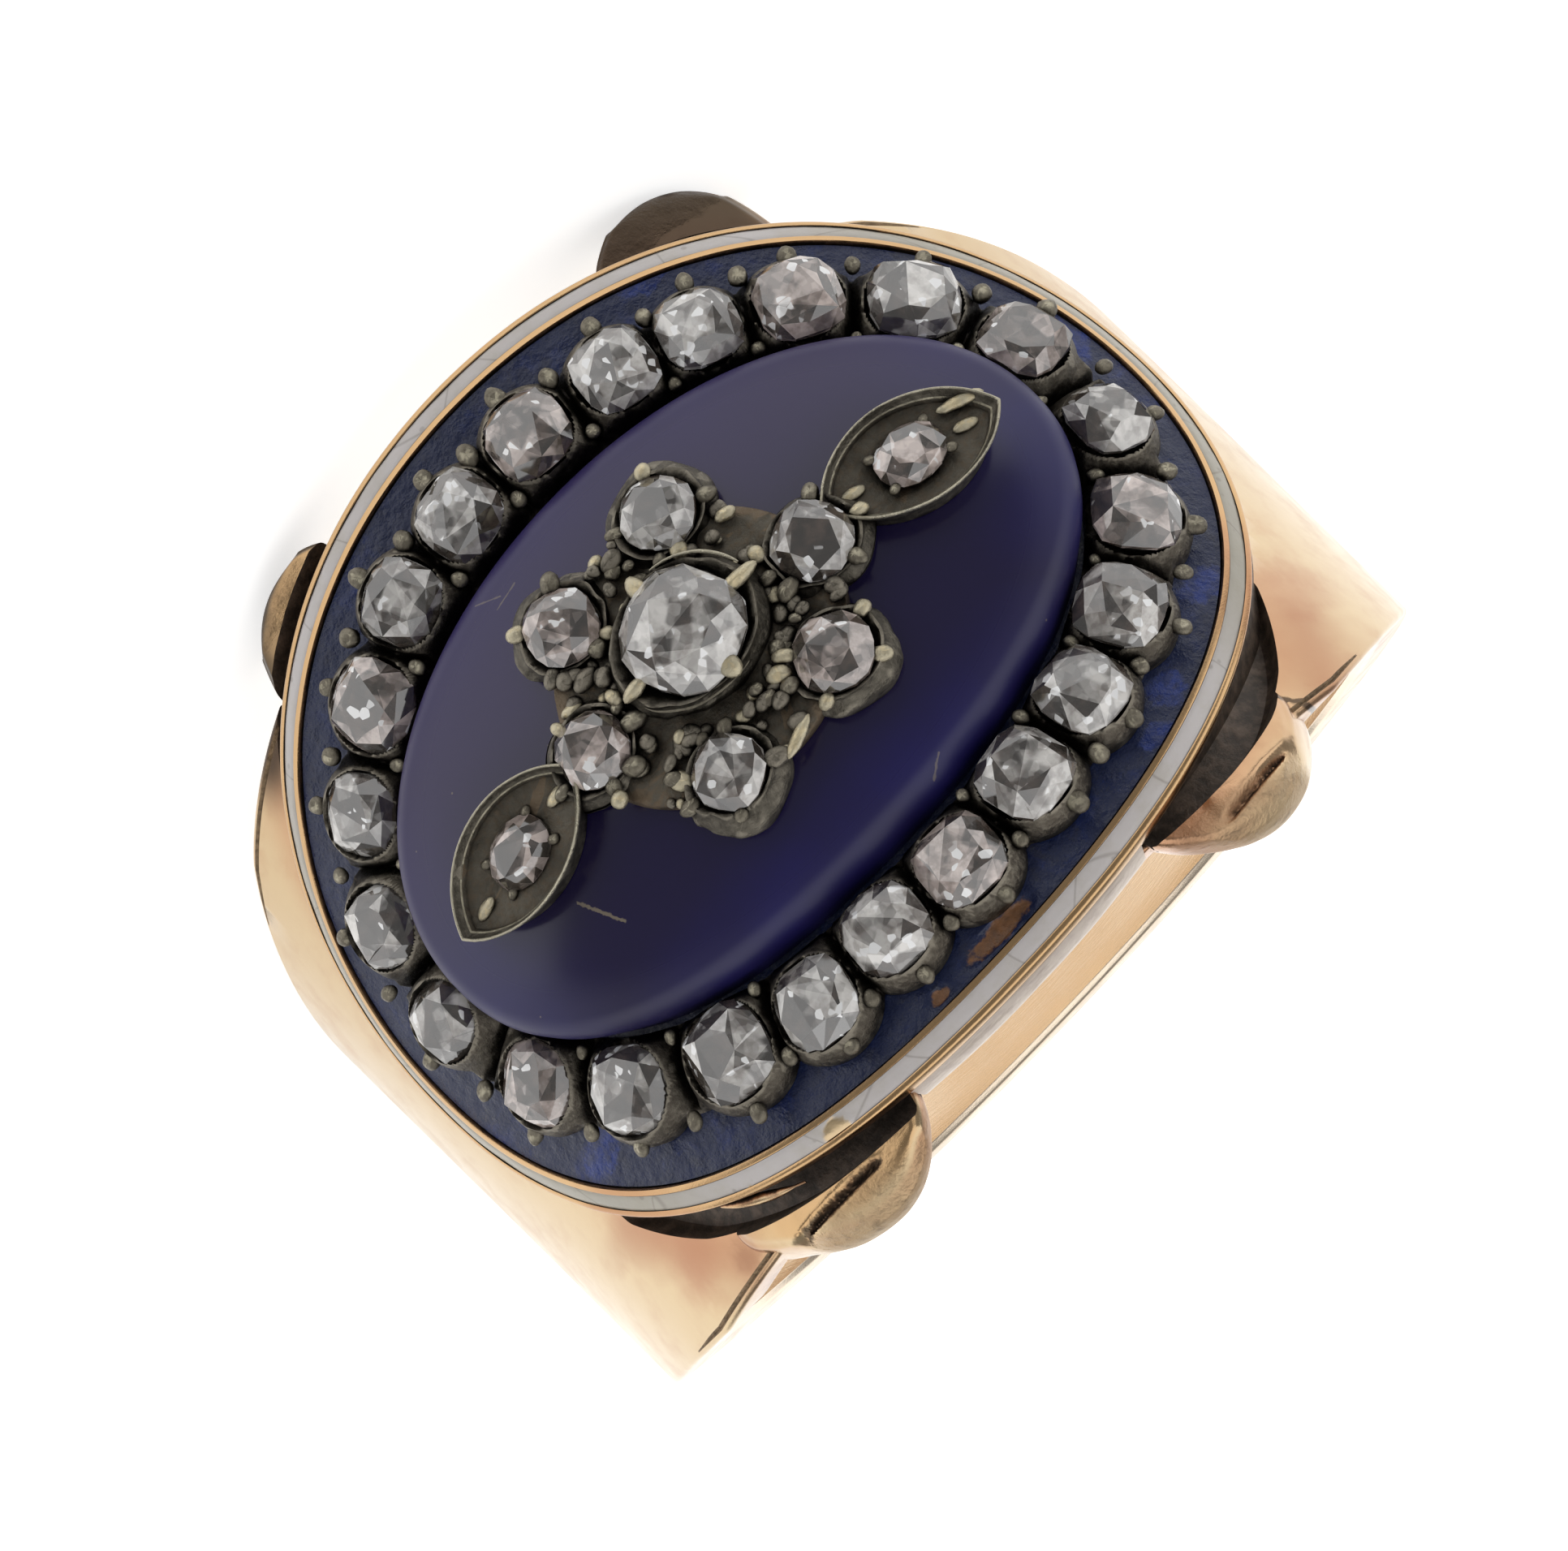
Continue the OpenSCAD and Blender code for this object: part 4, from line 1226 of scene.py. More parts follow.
def rim_shell(head):
    """The gold rim with its two lines and the channel for the white enamel."""
    inner, outer = head.inner_line, head.outer_line
    white = inner + head.white_w
    edge = white + outer
    low = head.rim_fall
    soft = 0.03 * MM
    profile = [
        (0, -head.rim_h + 0.05 * MM),
        (0, -2 * soft),
        (0.3 * soft, -0.8 * soft),
        (soft, 0),
        (inner - soft, -0.3 * soft),
        (inner - 0.3 * soft, -0.7 * soft),
        (inner, -1.5 * soft),
        (inner, -head.rim_h + 0.28 * MM),
        (white, -head.rim_h + 0.22 * MM),
        (white, -low - 0.6 * soft),
        (white + 0.3 * soft, -low + 0.4 * soft),
        (white + soft, -low + 0.6 * soft),
        (edge - soft, -low - 0.3 * soft),
        (edge - 0.3 * soft, -low - soft),
        (edge, -low - 2 * soft),
        (edge, -head.rim_h + 0.2 * MM),
        (edge - 0.02 * MM, -head.rim_h + 0.08 * MM),
        (edge - 0.08 * MM, -head.rim_h + 0.01 * MM),
        (edge - 0.16 * MM, -head.rim_h),
        (0.08 * MM, -head.rim_h),
    ]
    flat = oval_loops(profile, head, 560)
    flat[..., 2] += roughness(flat, (1.7, 3, 0.012))
    return lofted(bent(flat, head), closed=True)


def drum_shell(head):
    """The wall of the head under the rim, and the gold floor under the blue enamel."""
    turns = all_round(320)
    out = rim_w(head) - head.wall_inset
    floor_h = -head.blue_sink - head.blue_t - head.gap
    loops = [bent(head_loop(head, out, turns, floor_h, part), head) for part in np.linspace(0.03, 1, 18)]
    wall = bent(head_loop(head, out, turns, -head.rim_h), head)
    loops += [wall * np.array([1, 1, 1 - part]) for part in (0, *np.linspace(0.15, 1, 12))]
    return lofted(loops, finish=DARK)


def bore_shell(hoop):
    """The round room for the finger, a hair wider than the hoop's inside."""
    turns = all_round(420)
    radius = hoop.bore_r + 0.02 * MM
    x, z = radius * np.sin(turns), radius * np.cos(turns)
    return lofted([flat_points(x, y, z) for y in (-14 * MM, 14 * MM)])


def radius_on(flat, radius, head):
    """Points of the flat head at which the bent head's upright meets a radius about the finger."""
    a = flat[..., 0] / head.bend_r
    bend_z = head.crown_z - head.bend_r
    lean = head.shift * np.sin(a) + bend_z * np.cos(a)
    reach = -lean + np.sqrt(lean**2 - head.shift**2 - bend_z**2 + radius**2)
    return np.stack([flat[..., 0], flat[..., 1], reach - head.bend_r], -1)


# How far the recess reaches outside the field, at distances from the middle of the head, in millimetres
RECESS_LEFT = [(2.9, 0.90), (3.2, 0.94), (5.5, 1.08), (7.3, 1.18), (8.2, 1.28), (10.0, 1.26)]
RECESS_RIGHT = [(3.4, 0.60), (3.95, 0.75), (5.5, 1.10), (6.9, 1.38), (8.1, 1.50), (10.0, 1.42)]


def recess_shell(hoop, head):
    """The room of the recess around the head's wall, at its two long sides but not between the ears."""
    turns = all_round(720)
    inner = rim_w(head) - head.wall_inset - 0.08 * MM
    along, across, _ = head_loop(head, 0, turns, 0).T
    left, right = (np.interp(np.abs(along) / MM, *np.array(table).T) for table in (RECESS_LEFT, RECESS_RIGHT))
    wide = np.where(along > 0, left, right) * MM
    deep = smooth_step(2.8 * MM, 4.2 * MM, np.abs(across))
    start = np.where(along > 0, 2.9 * MM, 3.4 * MM)
    deep = deep * smooth_step(0, 0.35 * MM, np.abs(along) - start)
    hoop_r = outside_r(hoop)
    clear = hoop_r + hoop.ear_rise + hoop.ridge_h + 0.1 * MM
    floor_r = clear + (hoop_r - hoop.recess_d - clear) * deep
    loops = []
    for part in (0.0, 0.35, 0.7, 0.93, 1.0):
        loop = head_loop(head, inner + (wide - inner) * part, turns, 0)
        loops.append(radius_on(loop, floor_r + 0.12 * MM * (part == 1.0), head))
    for lip, radius, least in (
        (0.01 * MM, hoop_r - 0.07 * MM, floor_r + 0.14 * MM),
        (0.13 * MM, hoop_r + 0.27 * MM, floor_r + 0.2 * MM),
    ):
        loops.append(radius_on(head_loop(head, wide + lip, turns, 0), np.maximum(radius, least), head))
    loops += [head_loop(head, out, turns, 1.2 * MM) for out in (wide + 0.15 * MM, inner)]
    return lofted(bent(np.array(loops), head), closed=True, finish=DARK)


def skirt_shell(head, side):
    """The strip of wall under the rim between two ears, where the head reaches past the hoop."""
    edge = rim_w(head)
    section = [
        (edge - 0.50 * MM, -0.60 * MM),
        (edge - 0.03 * MM, -0.46 * MM),
        (edge - 0.003 * MM, -0.55 * MM),
        (edge + 0.015 * MM, -1.05 * MM),
        (edge - 0.01 * MM, -1.20 * MM),
        (edge - 0.10 * MM, -1.32 * MM),
        (edge - 0.62 * MM, -1.50 * MM),
    ]
    out, height = np.array(section).T
    turns = np.radians(np.linspace(74.5, 107.5, 60))
    flat = np.array([head_loop(head, out, side * turn, height) for turn in turns])
    flat[..., 1] += side * roughness(flat, (0.9, 17, 0.012))
    return lofted(bent(flat, head), finish=PALE)


def sliver_shell(head):
    """A torn sliver of gold that hangs in the recess, under the rim."""
    loops = []
    turns = all_round(12)
    start, sweep = math.radians(45.5), math.radians(12.5)
    for part in np.linspace(0, 1, 26):
        thick = (0.03 + 0.11 * math.sin(math.pi * min(part * 1.15, 1)) ** 0.8) * MM
        rise = -0.60 * MM - 0.10 * MM * part + 0.03 * MM * math.sin(9 * part)
        middle = head_loop(head, (0.66 + 0.14 * part) * MM, start + sweep * part, rise)
        loops.append(middle + flat_points(0, thick * np.cos(turns), 0.5 * thick * np.sin(turns)))
    return lofted(bent(np.array(loops), head))


class RING_OT_gold_mount(bpy.types.Operator):
    """Makes the gold hoop, its ears, the head's wall and the rim as one solid"""

    bl_idname = "ring.gold_mount"
    bl_label = "Gold mount"

    def execute(self, context):
        hoop, head = context.scene.ring_hoop, context.scene.ring_head
        rest = resting(hoop)

        def part(name, shell):
            return mesh_object(name, shell, GOLD_LOOKS, rest)

        mount = part("hoop_and_head", hoop_shell(hoop))
        for ear in EARS:
            combine(mount, part("ear_" + ear["name"], ear_shell(ear, hoop, head)), "UNION")
        combine(mount, part("recess", recess_shell(hoop, head)), "DIFFERENCE")
        drum = part("drum", drum_shell(head))
        combine(drum, part("bore", bore_shell(hoop)), "DIFFERENCE")
        combine(mount, drum, "UNION")
        for side in (-1, 1):
            combine(mount, part("skirt", skirt_shell(head, side)), "UNION")
        combine(mount, part("rim", rim_shell(head)), "UNION")
        combine(mount, part("sliver", sliver_shell(head)), "UNION")
        finish_piece(mount, "gold", "gold_mount")
        return {"FINISHED"}


class RING_OT_enamels(bpy.types.Operator):
    """Makes the white enamel line, the blue enamel floor and the domed plaque"""

    bl_idname = "ring.enamels"
    bl_label = "Enamels"

    def execute(self, context):
        head, rest = context.scene.ring_head, resting(context.scene.ring_hoop)
        for name, shell, look, node in (
            ("white_line", white_shell(head), "greyed_enamel", "white_enamel"),
            ("blue_floor", blue_shell(head), "dark_blue_enamel", "blue_enamel"),
            ("domed_plaque", plaque_shell(head), "deep_blue_glass", "plaque"),
        ):
            slot = "plaque_glass" if node == "plaque" else node
            finish_piece(mesh_object(name, shell, [look], rest), slot, node)
        return {"FINISHED"}


def white_shell(head):
    """The white enamel line, all but flush with the gold on both sides."""
    inner = head.inner_line - 0.01 * MM
    outer = head.inner_line + head.white_w + 0.01 * MM
    low = head.rim_fall
    profile = [(inner, -0.30 * MM), (inner, -0.10 * MM)]
    for t in np.linspace(0.03, 0.97, 9):
        crown = 0.03 * MM * (1 - (2 * t - 1) ** 4)
        profile.append((inner + (outer - inner) * t, -0.035 * MM - (low - 0.01 * MM) * t + crown))
    profile += [(outer, -low - 0.09 * MM), (outer, -0.36 * MM)]
    flat = oval_loops(profile, head, 640)
    top = flat[..., 2] > -0.28 * MM
    flat[..., 2] += roughness(flat, (0.7, 4, 0.012), (0.25, 5, 0.004)) * top
    flat[..., 2] += spot_depth(flat, GOLD_LUMPS, 0.05 * MM) * top
    return lofted(bent(flat, head), closed=True)


def spot_depth(flat, spots, depth):
    """How deep the worn spots of a table are at each place."""
    total = 0
    for spot in spots:
        off = (flat[..., :2] / MM - spot["at"][:2]) / spot["reach"][:2]
        total = np.maximum(total, smooth_step(1.25, 0.8, np.hypot(off[..., 0], off[..., 1])))
    return total * depth


def blue_shell(head):
    """The blue enamel floor, uneven, with hollows where it is worn away."""
    turns = all_round(720)
    parts = np.concatenate([[0.02, 0.3, 0.6], np.linspace(0.68, 1, 38)])
    top = np.array([head_loop(head, -head.gap, turns, -head.blue_sink, part) for part in parts])
    top[..., 2] += roughness(top, (1.3, 6, 0.016))
    top[..., 2] -= spot_depth(top, LOST_ENAMEL, 0.07 * MM)
    bottom = top[-1].copy()
    bottom[:, 2] = -head.blue_sink - head.blue_t
    centre = bottom * np.array([0.05, 0.05, 1])
    return lofted(bent(np.concatenate([top, [bottom, centre]]), head))


def plaque_shell(head):
    """The domed plaque with a rounded edge and an upright side."""
    turns = all_round(512)
    soft = head.plaque_round
    loops = []
    near_edge = 1 - 0.12 * np.cos(np.linspace(0, math.pi / 2, 20))
    for part in np.concatenate([np.linspace(0.02, 0.88, 26), near_edge[1:]]):
        along, across = oval(head.plaque_l * part, head.plaque_w * part, turns, head.fullness)
        inward = (1 - part) * np.hypot(along, across) / max(part, 0.01)
        edge = np.clip(1 - inward / soft, 0, 1)
        fall = soft * (1 - np.sqrt(np.maximum(1 - edge**2, 0)))
        loops.append(flat_points(along, across, dome_height(along, across, head) - fall))
    side = loops[-1]
    loops += [lowered(side, -head.blue_sink + head.gap, part) for part in (0.25, 0.6, 1.0)]
    centre = loops[-1] * np.array([0.05, 0.05, 1])
    flat = np.array(loops + [centre])
    flat[..., 0] += head.field_shift
    return lofted(bent(flat, head))


class StoneRow:
    """The oval line on which the border stones stand."""

    def __init__(self, head, silver):
        turns = math.pi + np.linspace(0, 2 * math.pi, ROW_STEPS + 1)
        self.points = np.stack(oval(silver.row_l, silver.row_w, turns, head.fullness), -1)
        self.away = unit(np.stack([np.cos(turns) * silver.row_w, np.sin(turns) * silver.row_l], -1))
        self.run = np.concatenate([[0], np.cumsum(np.hypot(*np.diff(self.points, axis=0).T))])
        self.length = self.run[-1]

    def at(self, run, out):
        """Places that lie at a distance along the row and outwards from it."""
        run = np.mod(run, self.length)
        on_row, away = (
            np.stack([np.interp(run, self.run, values[:, k]) for k in (0, 1)], -1)
            for values in (self.points, self.away)
        )
        return on_row + unit(away) * np.asarray(out)[..., None]

    def nearest(self, along, across):
        """Which step of the row is nearest to a point, and the way from it to the point."""
        apart = np.array([along, across]) - self.points
        near = int(np.argmin(np.hypot(*apart.T)))
        return near, apart[near]

    def heading(self, along, across):
        """Direction outwards from the row at the place nearest to a point."""
        away = self.away[self.nearest(along, across)[0]]
        return math.atan2(away[1], away[0])

    def find(self, along, across):
        """The distance along the row of the place nearest to a point, and how far outwards that point is."""
        near, apart = self.nearest(along, across)
        return self.run[near], float(apart @ self.away[near])


class BorderField:
    """Height of the silver border at any place, with a seat for each stone."""

    def __init__(self, scene):
        self.head, self.silver = scene.ring_head, scene.ring_silver
        self.row = StoneRow(self.head, self.silver)
        self.seats = seats(scene, "border_stone")
        for seat in self.seats:
            seat.run, seat.out = self.row.find(seat.along - self.head.field_shift, seat.across)

    def edge(self, run):
        """How far outwards the scalloped edge reaches at a distance along the row."""
        reach = np.full(np.shape(run), self.silver.band_w / 2)
        for seat in self.seats:
            off = np.mod(run - seat.run + self.row.length / 2, self.row.length) - self.row.length / 2
            radius = seat.width / 2 + self.silver.scallop
            circle = np.sqrt(np.maximum(radius**2 - off**2, 0)) + seat.out
            reach = np.maximum(reach, np.where(np.abs(off) < radius, circle, 0))
        return reach

    def height(self, place):
        """Height of the metal at places told as along and across, without the shift of the field."""
        nearest = np.ones(place.shape[:-1])
        second = np.ones(place.shape[:-1])
        width = np.zeros(place.shape[:-1])
        for seat in self.seats:
            apart = place - np.array([seat.along - self.head.field_shift, seat.across])
            away = np.hypot(apart[..., 0], apart[..., 1]) - seat.width / 2
            closer = away < nearest
            second = np.where(closer, nearest, np.minimum(second, away))
            width = np.where(closer, seat.width, width)
            nearest = np.where(closer, away, nearest)
        lip = 0.09 * MM * bell(nearest - 0.04 * MM, 0.07 * MM)
        groove = 0.26 * MM * bell((second - nearest) / 2, 0.07 * MM) * smooth_step(0, 0.05 * MM, nearest)
        outside = 0.2 * MM * smooth_step(0.1 * MM, 0.34 * MM, nearest)
        top = self.silver.border_h + lip - groove - outside
        radius = nearest + width / 2
        cone = self.silver.border_h - SEAT_SLOPE * np.maximum(SEAT_R * width - radius, 0)
        cone = np.maximum(cone, self.silver.border_h - SEAT_DEPTH * width)
        inside = smooth_step(0.05 * MM, 0.0, nearest)
        return np.maximum(top * (1 - inside) + cone * inside, -0.02 * MM)


def border_shell(field):
    """The silver border as one closed band around the plaque."""
    head = field.head
    run = np.linspace(0, field.row.length, 1150, endpoint=False)[None, :]
    reach = field.edge(run)
    inner = -0.98 * MM
    foot = head.gap - head.blue_sink
    loops = []
    for part in np.linspace(0, 1, 40):
        out = inner + (reach - inner) * part
        place = field.row.at(np.broadcast_to(run, out.shape), out)[0]
        height = field.height(place)
        edge_in = 0.24 * MM * smooth_step(-0.78 * MM, inner, out[0])
        edge_out = 0.12 * MM * smooth_step(0.12 * MM, 0.0, (reach - out)[0]) ** 2
        height = np.maximum(height - edge_in - edge_out, foot + 0.02 * MM)
        loops.append(flat_points(place[:, 0] + head.field_shift, place[:, 1], height))
    top = np.array(loops)
    loops += [lowered(top[-1], foot, part) for part in (0.5, 1.0)]
    loops.append(lowered(top[0], foot, 1.0))
    flat = np.array(loops)
    steps = len(top)
    flat[:steps, :, 2] += roughness(top, (0.5, 7, 0.02)) * (top[..., 2] > 0.1 * MM)
    return lofted(bent(flat, head), closed=True, finish=TARNISHED)


def add_bead(
    shell, place, height, radius, head, lean, stretch, flat=0.85, look=BORDER_BEAD, sink=0.35, dimple=0.0
):
    """Adds one rough bead on the flat head, drawn out along the direction that it leans to."""
    rings, around = 9, 16
    turns = all_round(around)
    loops = []
    for tilt in np.linspace(0.08, math.pi - 0.08, rings):
        x = radius * stretch * math.sin(tilt) * np.cos(turns)
        y = radius * math.sin(tilt) * np.sin(turns)
        z = radius * flat * (math.cos(tilt) - dimple * math.exp(-((tilt / 0.5) ** 2)))
        loops.append(flat_points(*turned(place, x, y, lean), height + radius * flat * (1 - 2 * sink) + z))
    points = bent(np.array(loops), head)
    points += (grain(points, 0.22 * MM, 13) * 0.22 * radius)[..., None] * np.array([0.7, 1.0, 0.6])
    shell.loft(points, finish=look)


def add_border_beads(shell, field):
    """Two outer beads and some inner ones for each stone of the border."""
    head, silver, row = field.head, field.silver, field.row
    chance = random.Random(23)
    ordered = sorted(field.seats, key=lambda seat: seat.run)
    for here, after in zip(ordered, ordered[1:] + ordered[:1]):
        size = silver.bead_r * chance.uniform(0.85, 1.1)
        out = here.out + here.width / 2 + chance.uniform(0.20, 0.32) * MM
        run = here.run + chance.uniform(-0.14, 0.14) * MM
        between = here.run + (np.mod(after.run - here.run, row.length)) / 2
        spots = [(run, out, size, 0.14)]
        gap_out = chance.uniform(0.68, 0.90) * MM
        spots.append((between + chance.uniform(-0.08, 0.08) * MM, gap_out, size * 0.95, 0.1))
        if chance.random() < 0.75:
            spots.append((between, chance.uniform(-0.86, -0.66) * MM, size * 0.75, 0.12))
        for run_at, out_at, radius, drop in spots:
            outs = np.array([out_at, out_at - 0.2 * MM])
            place, back = row.at(np.array([run_at, run_at]), outs)
            lean = math.atan2(*(back - place)[::-1])
            place = (place[0] + head.field_shift, place[1])
            dimple = chance.uniform(0.0, 0.5)
            height = silver.border_h - drop * MM
            add_bead(shell, place, height, radius, head, lean, chance.uniform(1.0, 1.4), dimple=dimple)


class RING_OT_border(bpy.types.Operator):
    """Makes the scalloped silver border and its beads"""

    bl_idname = "ring.border"
    bl_label = "Silver border"

    def execute(self, context):
        field = BorderField(context.scene)
        shell = border_shell(field)
        add_border_beads(shell, field)
        rest = resting(context.scene.ring_hoop)
        border = mesh_object("silver_border", shell, BORDER_LOOKS, rest, SILVER_CREASE)
        finish_piece(border, "dark_silver", "border_setting")
        return {"FINISHED"}


def add_collet(shell, seat, outline, top, head, wall):
    """Adds a cup of metal around a stone, on the dome. outline gives the outer radius at each angle."""
    turns = all_round(96)
    outer = outline(turns)
    c, s = np.cos(turns), np.sin(turns)
    width = seat.width
    inner = np.minimum(SEAT_R * width + 0.02 * MM, outer - wall)
    dome = dome_height(seat.along - head.field_shift + outer * c, seat.across + outer * s, head) + 0.02 * MM
    rows = [
        (outer * 0.3, dome),
        (outer * 0.93, dome),
        (outer * 1.0, top - 0.6 * (top - dome)),
        (outer * 1.0, top - 0.34 * MM),
        (outer - 0.03 * MM, top - 0.24 * MM),
        (outer - 0.08 * MM, top - 0.17 * MM),
        (outer - wall, top - 0.10 * MM + 0.02 * MM),
        (inner + 0.5 * (outer - wall - inner), top - 0.02 * MM),
        (inner + 0.03 * MM, top + 0.06 * MM),
        (inner - 0.02 * MM, top + 0.05 * MM),
        (0.45 * width, top - 0.065 * width),
        (0.12 * width, top - 0.37 * width),
    ]
    flat = np.array([flat_points(seat.along + r * c, seat.across + r * s, height) for r, height in rows])
    rough = roughness(flat[2:10], (0.6, 8, 0.07), (0.27, 18, 0.06))
    flat[2:10] += rough[..., None] * np.array([0.7, 0.7, 1])
    shell.loft(bent(flat, head))


def almond(half_l, half_w):
    """Points of a pointed oval made of two arcs."""
    around = 96
    arc_r = (half_l**2 + half_w**2) / (2 * half_w)
    reach = math.asin(half_l / arc_r)
    sweep = np.linspace(-reach, reach, around // 2, endpoint=False)
    upper = np.stack([arc_r * np.sin(sweep), arc_r * np.cos(sweep) - (arc_r - half_w)], -1)
    return np.concatenate([upper, -upper])


# Rows of a leaf, from under it over its wire into its bowl: share of its size, distance inwards, what the
# height is counted from, height in millimetres, and finish
LEAF_ROWS = [
    (0.3, 0, "dome", 0.02, CRUSTED),
    (0.90, 0, "dome", 0.02, CRUSTED),
    (0.93, 0, "edge", -0.35, CRUSTED),
    (0.985, 0, "edge", -0.12, CRUSTED),
    (1, 0, "edge", -0.05, BRIGHT),
    (1, 0.012, "edge", 0, BRIGHT),
    (1, 0.03, "edge", 0.01, BRIGHT),
    (1, 0.048, "edge", -0.01, BRIGHT),
    (1, 0.062, "edge", -0.09, CRUSTED),
    (1, 0.115, "edge", -0.16, CRUSTED),
    (1, 0.14, "edge", -0.18, BEAD),
    (1, 0.17, "edge", -0.28, CREVICE),
    (0.80, 0.20, "bowl", -0.02, CREVICE),
    (0.35, 0.1, "bowl", -0.08, CREVICE),
    (0.06, 0, "bowl", -0.45, CREVICE),
]


def add_leaf(shell, seat, turn, head, silver):
    """Adds a leaf: a pointed bowl with a thin bright wire along its edge."""
    top, bowl = silver.leaf_h, silver.leaf_h - silver.leaf_bowl
    loops = []
    for part, inward, base, rise, _ in LEAF_ROWS:
        inward *= MM
        outline = almond(silver.leaf_l * part - inward * 1.4, silver.leaf_w * part - inward)
        x, y = turned(seat.place, *outline.T, turn)
        on_dome = dome_height(x - head.field_shift, y, head)
        height = {"dome": on_dome, "edge": top, "bowl": bowl}[base] + rise * MM
        loops.append(flat_points(x, y, height))
    flat = np.array(loops)
    flat[2:12] += roughness(flat[2:12], (0.8, 9, 0.015))[..., None]
    shell.loft(bent(flat, head), finish=[row[-1] for row in LEAF_ROWS[1:]])


def add_wire(shell, wire, head):
    """Adds a thin bright edge of metal that paints a highlight: part of a circle on the flat head."""
    turns = all_round(8)
    thick = wire["thick"] * MM
    loops = []
    for part in np.linspace(0, 1, 28):
        a = math.radians(wire["from"] + (wire["to"] - wire["from"]) * part)
        swell = thick * (0.35 + 0.65 * math.sin(math.pi * part) ** 0.5)
        reach = wire["radius"] * MM + swell * np.cos(turns)
        height = wire["height"] * MM + swell * np.sin(turns)
        loops.append(flat_points(*beside(WIRE_MIDDLE, reach, a), height))
    flat = np.array(loops)
    flat += roughness(flat, (0.5, 19, 0.02))[..., None]
    shell.loft(bent(flat, head), finish=wire["look"])


# Painted highlights on the middle stone's collet: bright edges around it, in millimetres and degrees, each
# running between two angles
HIGHLIGHT_WIRES = [
    {"radius": 1.37, "height": 2.48, "from": 188, "to": 258, "thick": 0.035, "look": BRIGHT},
    {"radius": 1.42, "height": 2.40, "from": 20, "to": 105, "thick": 0.03, "look": BEAD},
]
WIRE_MIDDLE = (-0.35 * MM, -0.30 * MM)

# Streaks of pale gold on the flower and one leaf, in millimetres, with their direction in degrees
STREAKS = [
    {"at": (-0.40, 2.74), "turn": 205, "long": 0.42, "wide": 0.13, "height": 2.08},
    {"at": (-6.28, -0.26), "turn": 168, "long": 0.46, "wide": 0.13, "height": 2.06},
]

# Turn of each leaf about its own middle, in degrees
LEAF_TURNS = (-8, 5)

# Claws over the middle stone: direction from its middle in degrees, length and width in millimetres
CLAWS = [(-88, 0.34, 0.17), (178, 0.40, 0.16), (96, 0.27, 0.19), (5, 0.27, 0.15)]


def flower_plate(petals, head, silver):
    """Loops of the rough plate behind the petals, which follows their outline."""
    around = all_round(144)
    edge = np.zeros(around.shape)
    for seat in petals:
        x, y = seat.along - head.field_shift, seat.across
        off = around - math.atan2(y, x)
        off = np.arctan2(np.sin(off), np.cos(off))
        edge = np.maximum(edge, (math.hypot(x, y) + 0.55 * MM) - 0.95 * MM * (off / 0.52) ** 2)
    edge = np.maximum(edge, silver.web_r + 0.45 * MM)
    rows = [(0.3, None), (0.97, None), (1.0, -0.16), (0.98, -0.02), (0.9, 0.03)]
    rows += [(part, 0.03) for part in np.linspace(0.86, 0.04, 22)]
    loops = []
    for part, rise in rows:
        x, y = head.field_shift + edge * part * np.cos(around), edge * part * np.sin(around)
        on_dome = dome_height(x - head.field_shift, y, head) + 0.02 * MM
        loops.append(flat_points(x, y, on_dome if rise is None else silver.web_h + rise * MM))
    loops = np.array(loops)
    rough = roughness(loops, (0.55, 14, 0.10), (0.2, 15, 0.03))
    loops[3:, :, 2] += rough[3:]
    return loops


class RING_OT_flower(bpy.types.Operator):
    """Makes the silver flower and its two leaves"""

    bl_idname = "ring.flower"
    bl_label = "Flower"

    def execute(self, context):
        scene = context.scene
        head, silver = scene.ring_head, scene.ring_silver
        middle, petals = seats(scene, "middle_stone")[0], seats(scene, "petal_stone")
        chance = random.Random(6)
        shell = lofted(bent(flower_plate(petals, head, silver), head), finish=CREVICE)
        for seat in petals:
            add_petal(shell, seat, middle, head, silver, chance)
        add_middle(shell, middle, head, silver)
        for wire in HIGHLIGHT_WIRES:
            add_wire(shell, wire, head)
        for streak in STREAKS:
            place = (streak["at"][0] * MM, streak["at"][1] * MM)
            lean, stretch = math.radians(streak["turn"]), streak["long"] / streak["wide"]
            height, wide = streak["height"] * MM, streak["wide"] * MM
            add_bead(shell, place, height, wide, head, lean, stretch, 0.7, look=GRAIN)
        add_claws(shell, middle, head, silver)
        add_grains(shell, petals + [middle], head, silver, chance)
        for seat, turn in zip(seats(scene, "leaf_stone"), LEAF_TURNS):
            add_leaf(shell, seat, math.radians(turn), head, silver)
            add_leaf_beads(shell, seat, math.radians(turn), head, silver, chance)
        rest = resting(scene.ring_hoop)
        flower = mesh_object("silver_flower", shell, FLOWER_LOOKS, rest, SILVER_CREASE)
        finish_piece(flower, "dark_silver", "flower_setting")
        return {"FINISHED"}


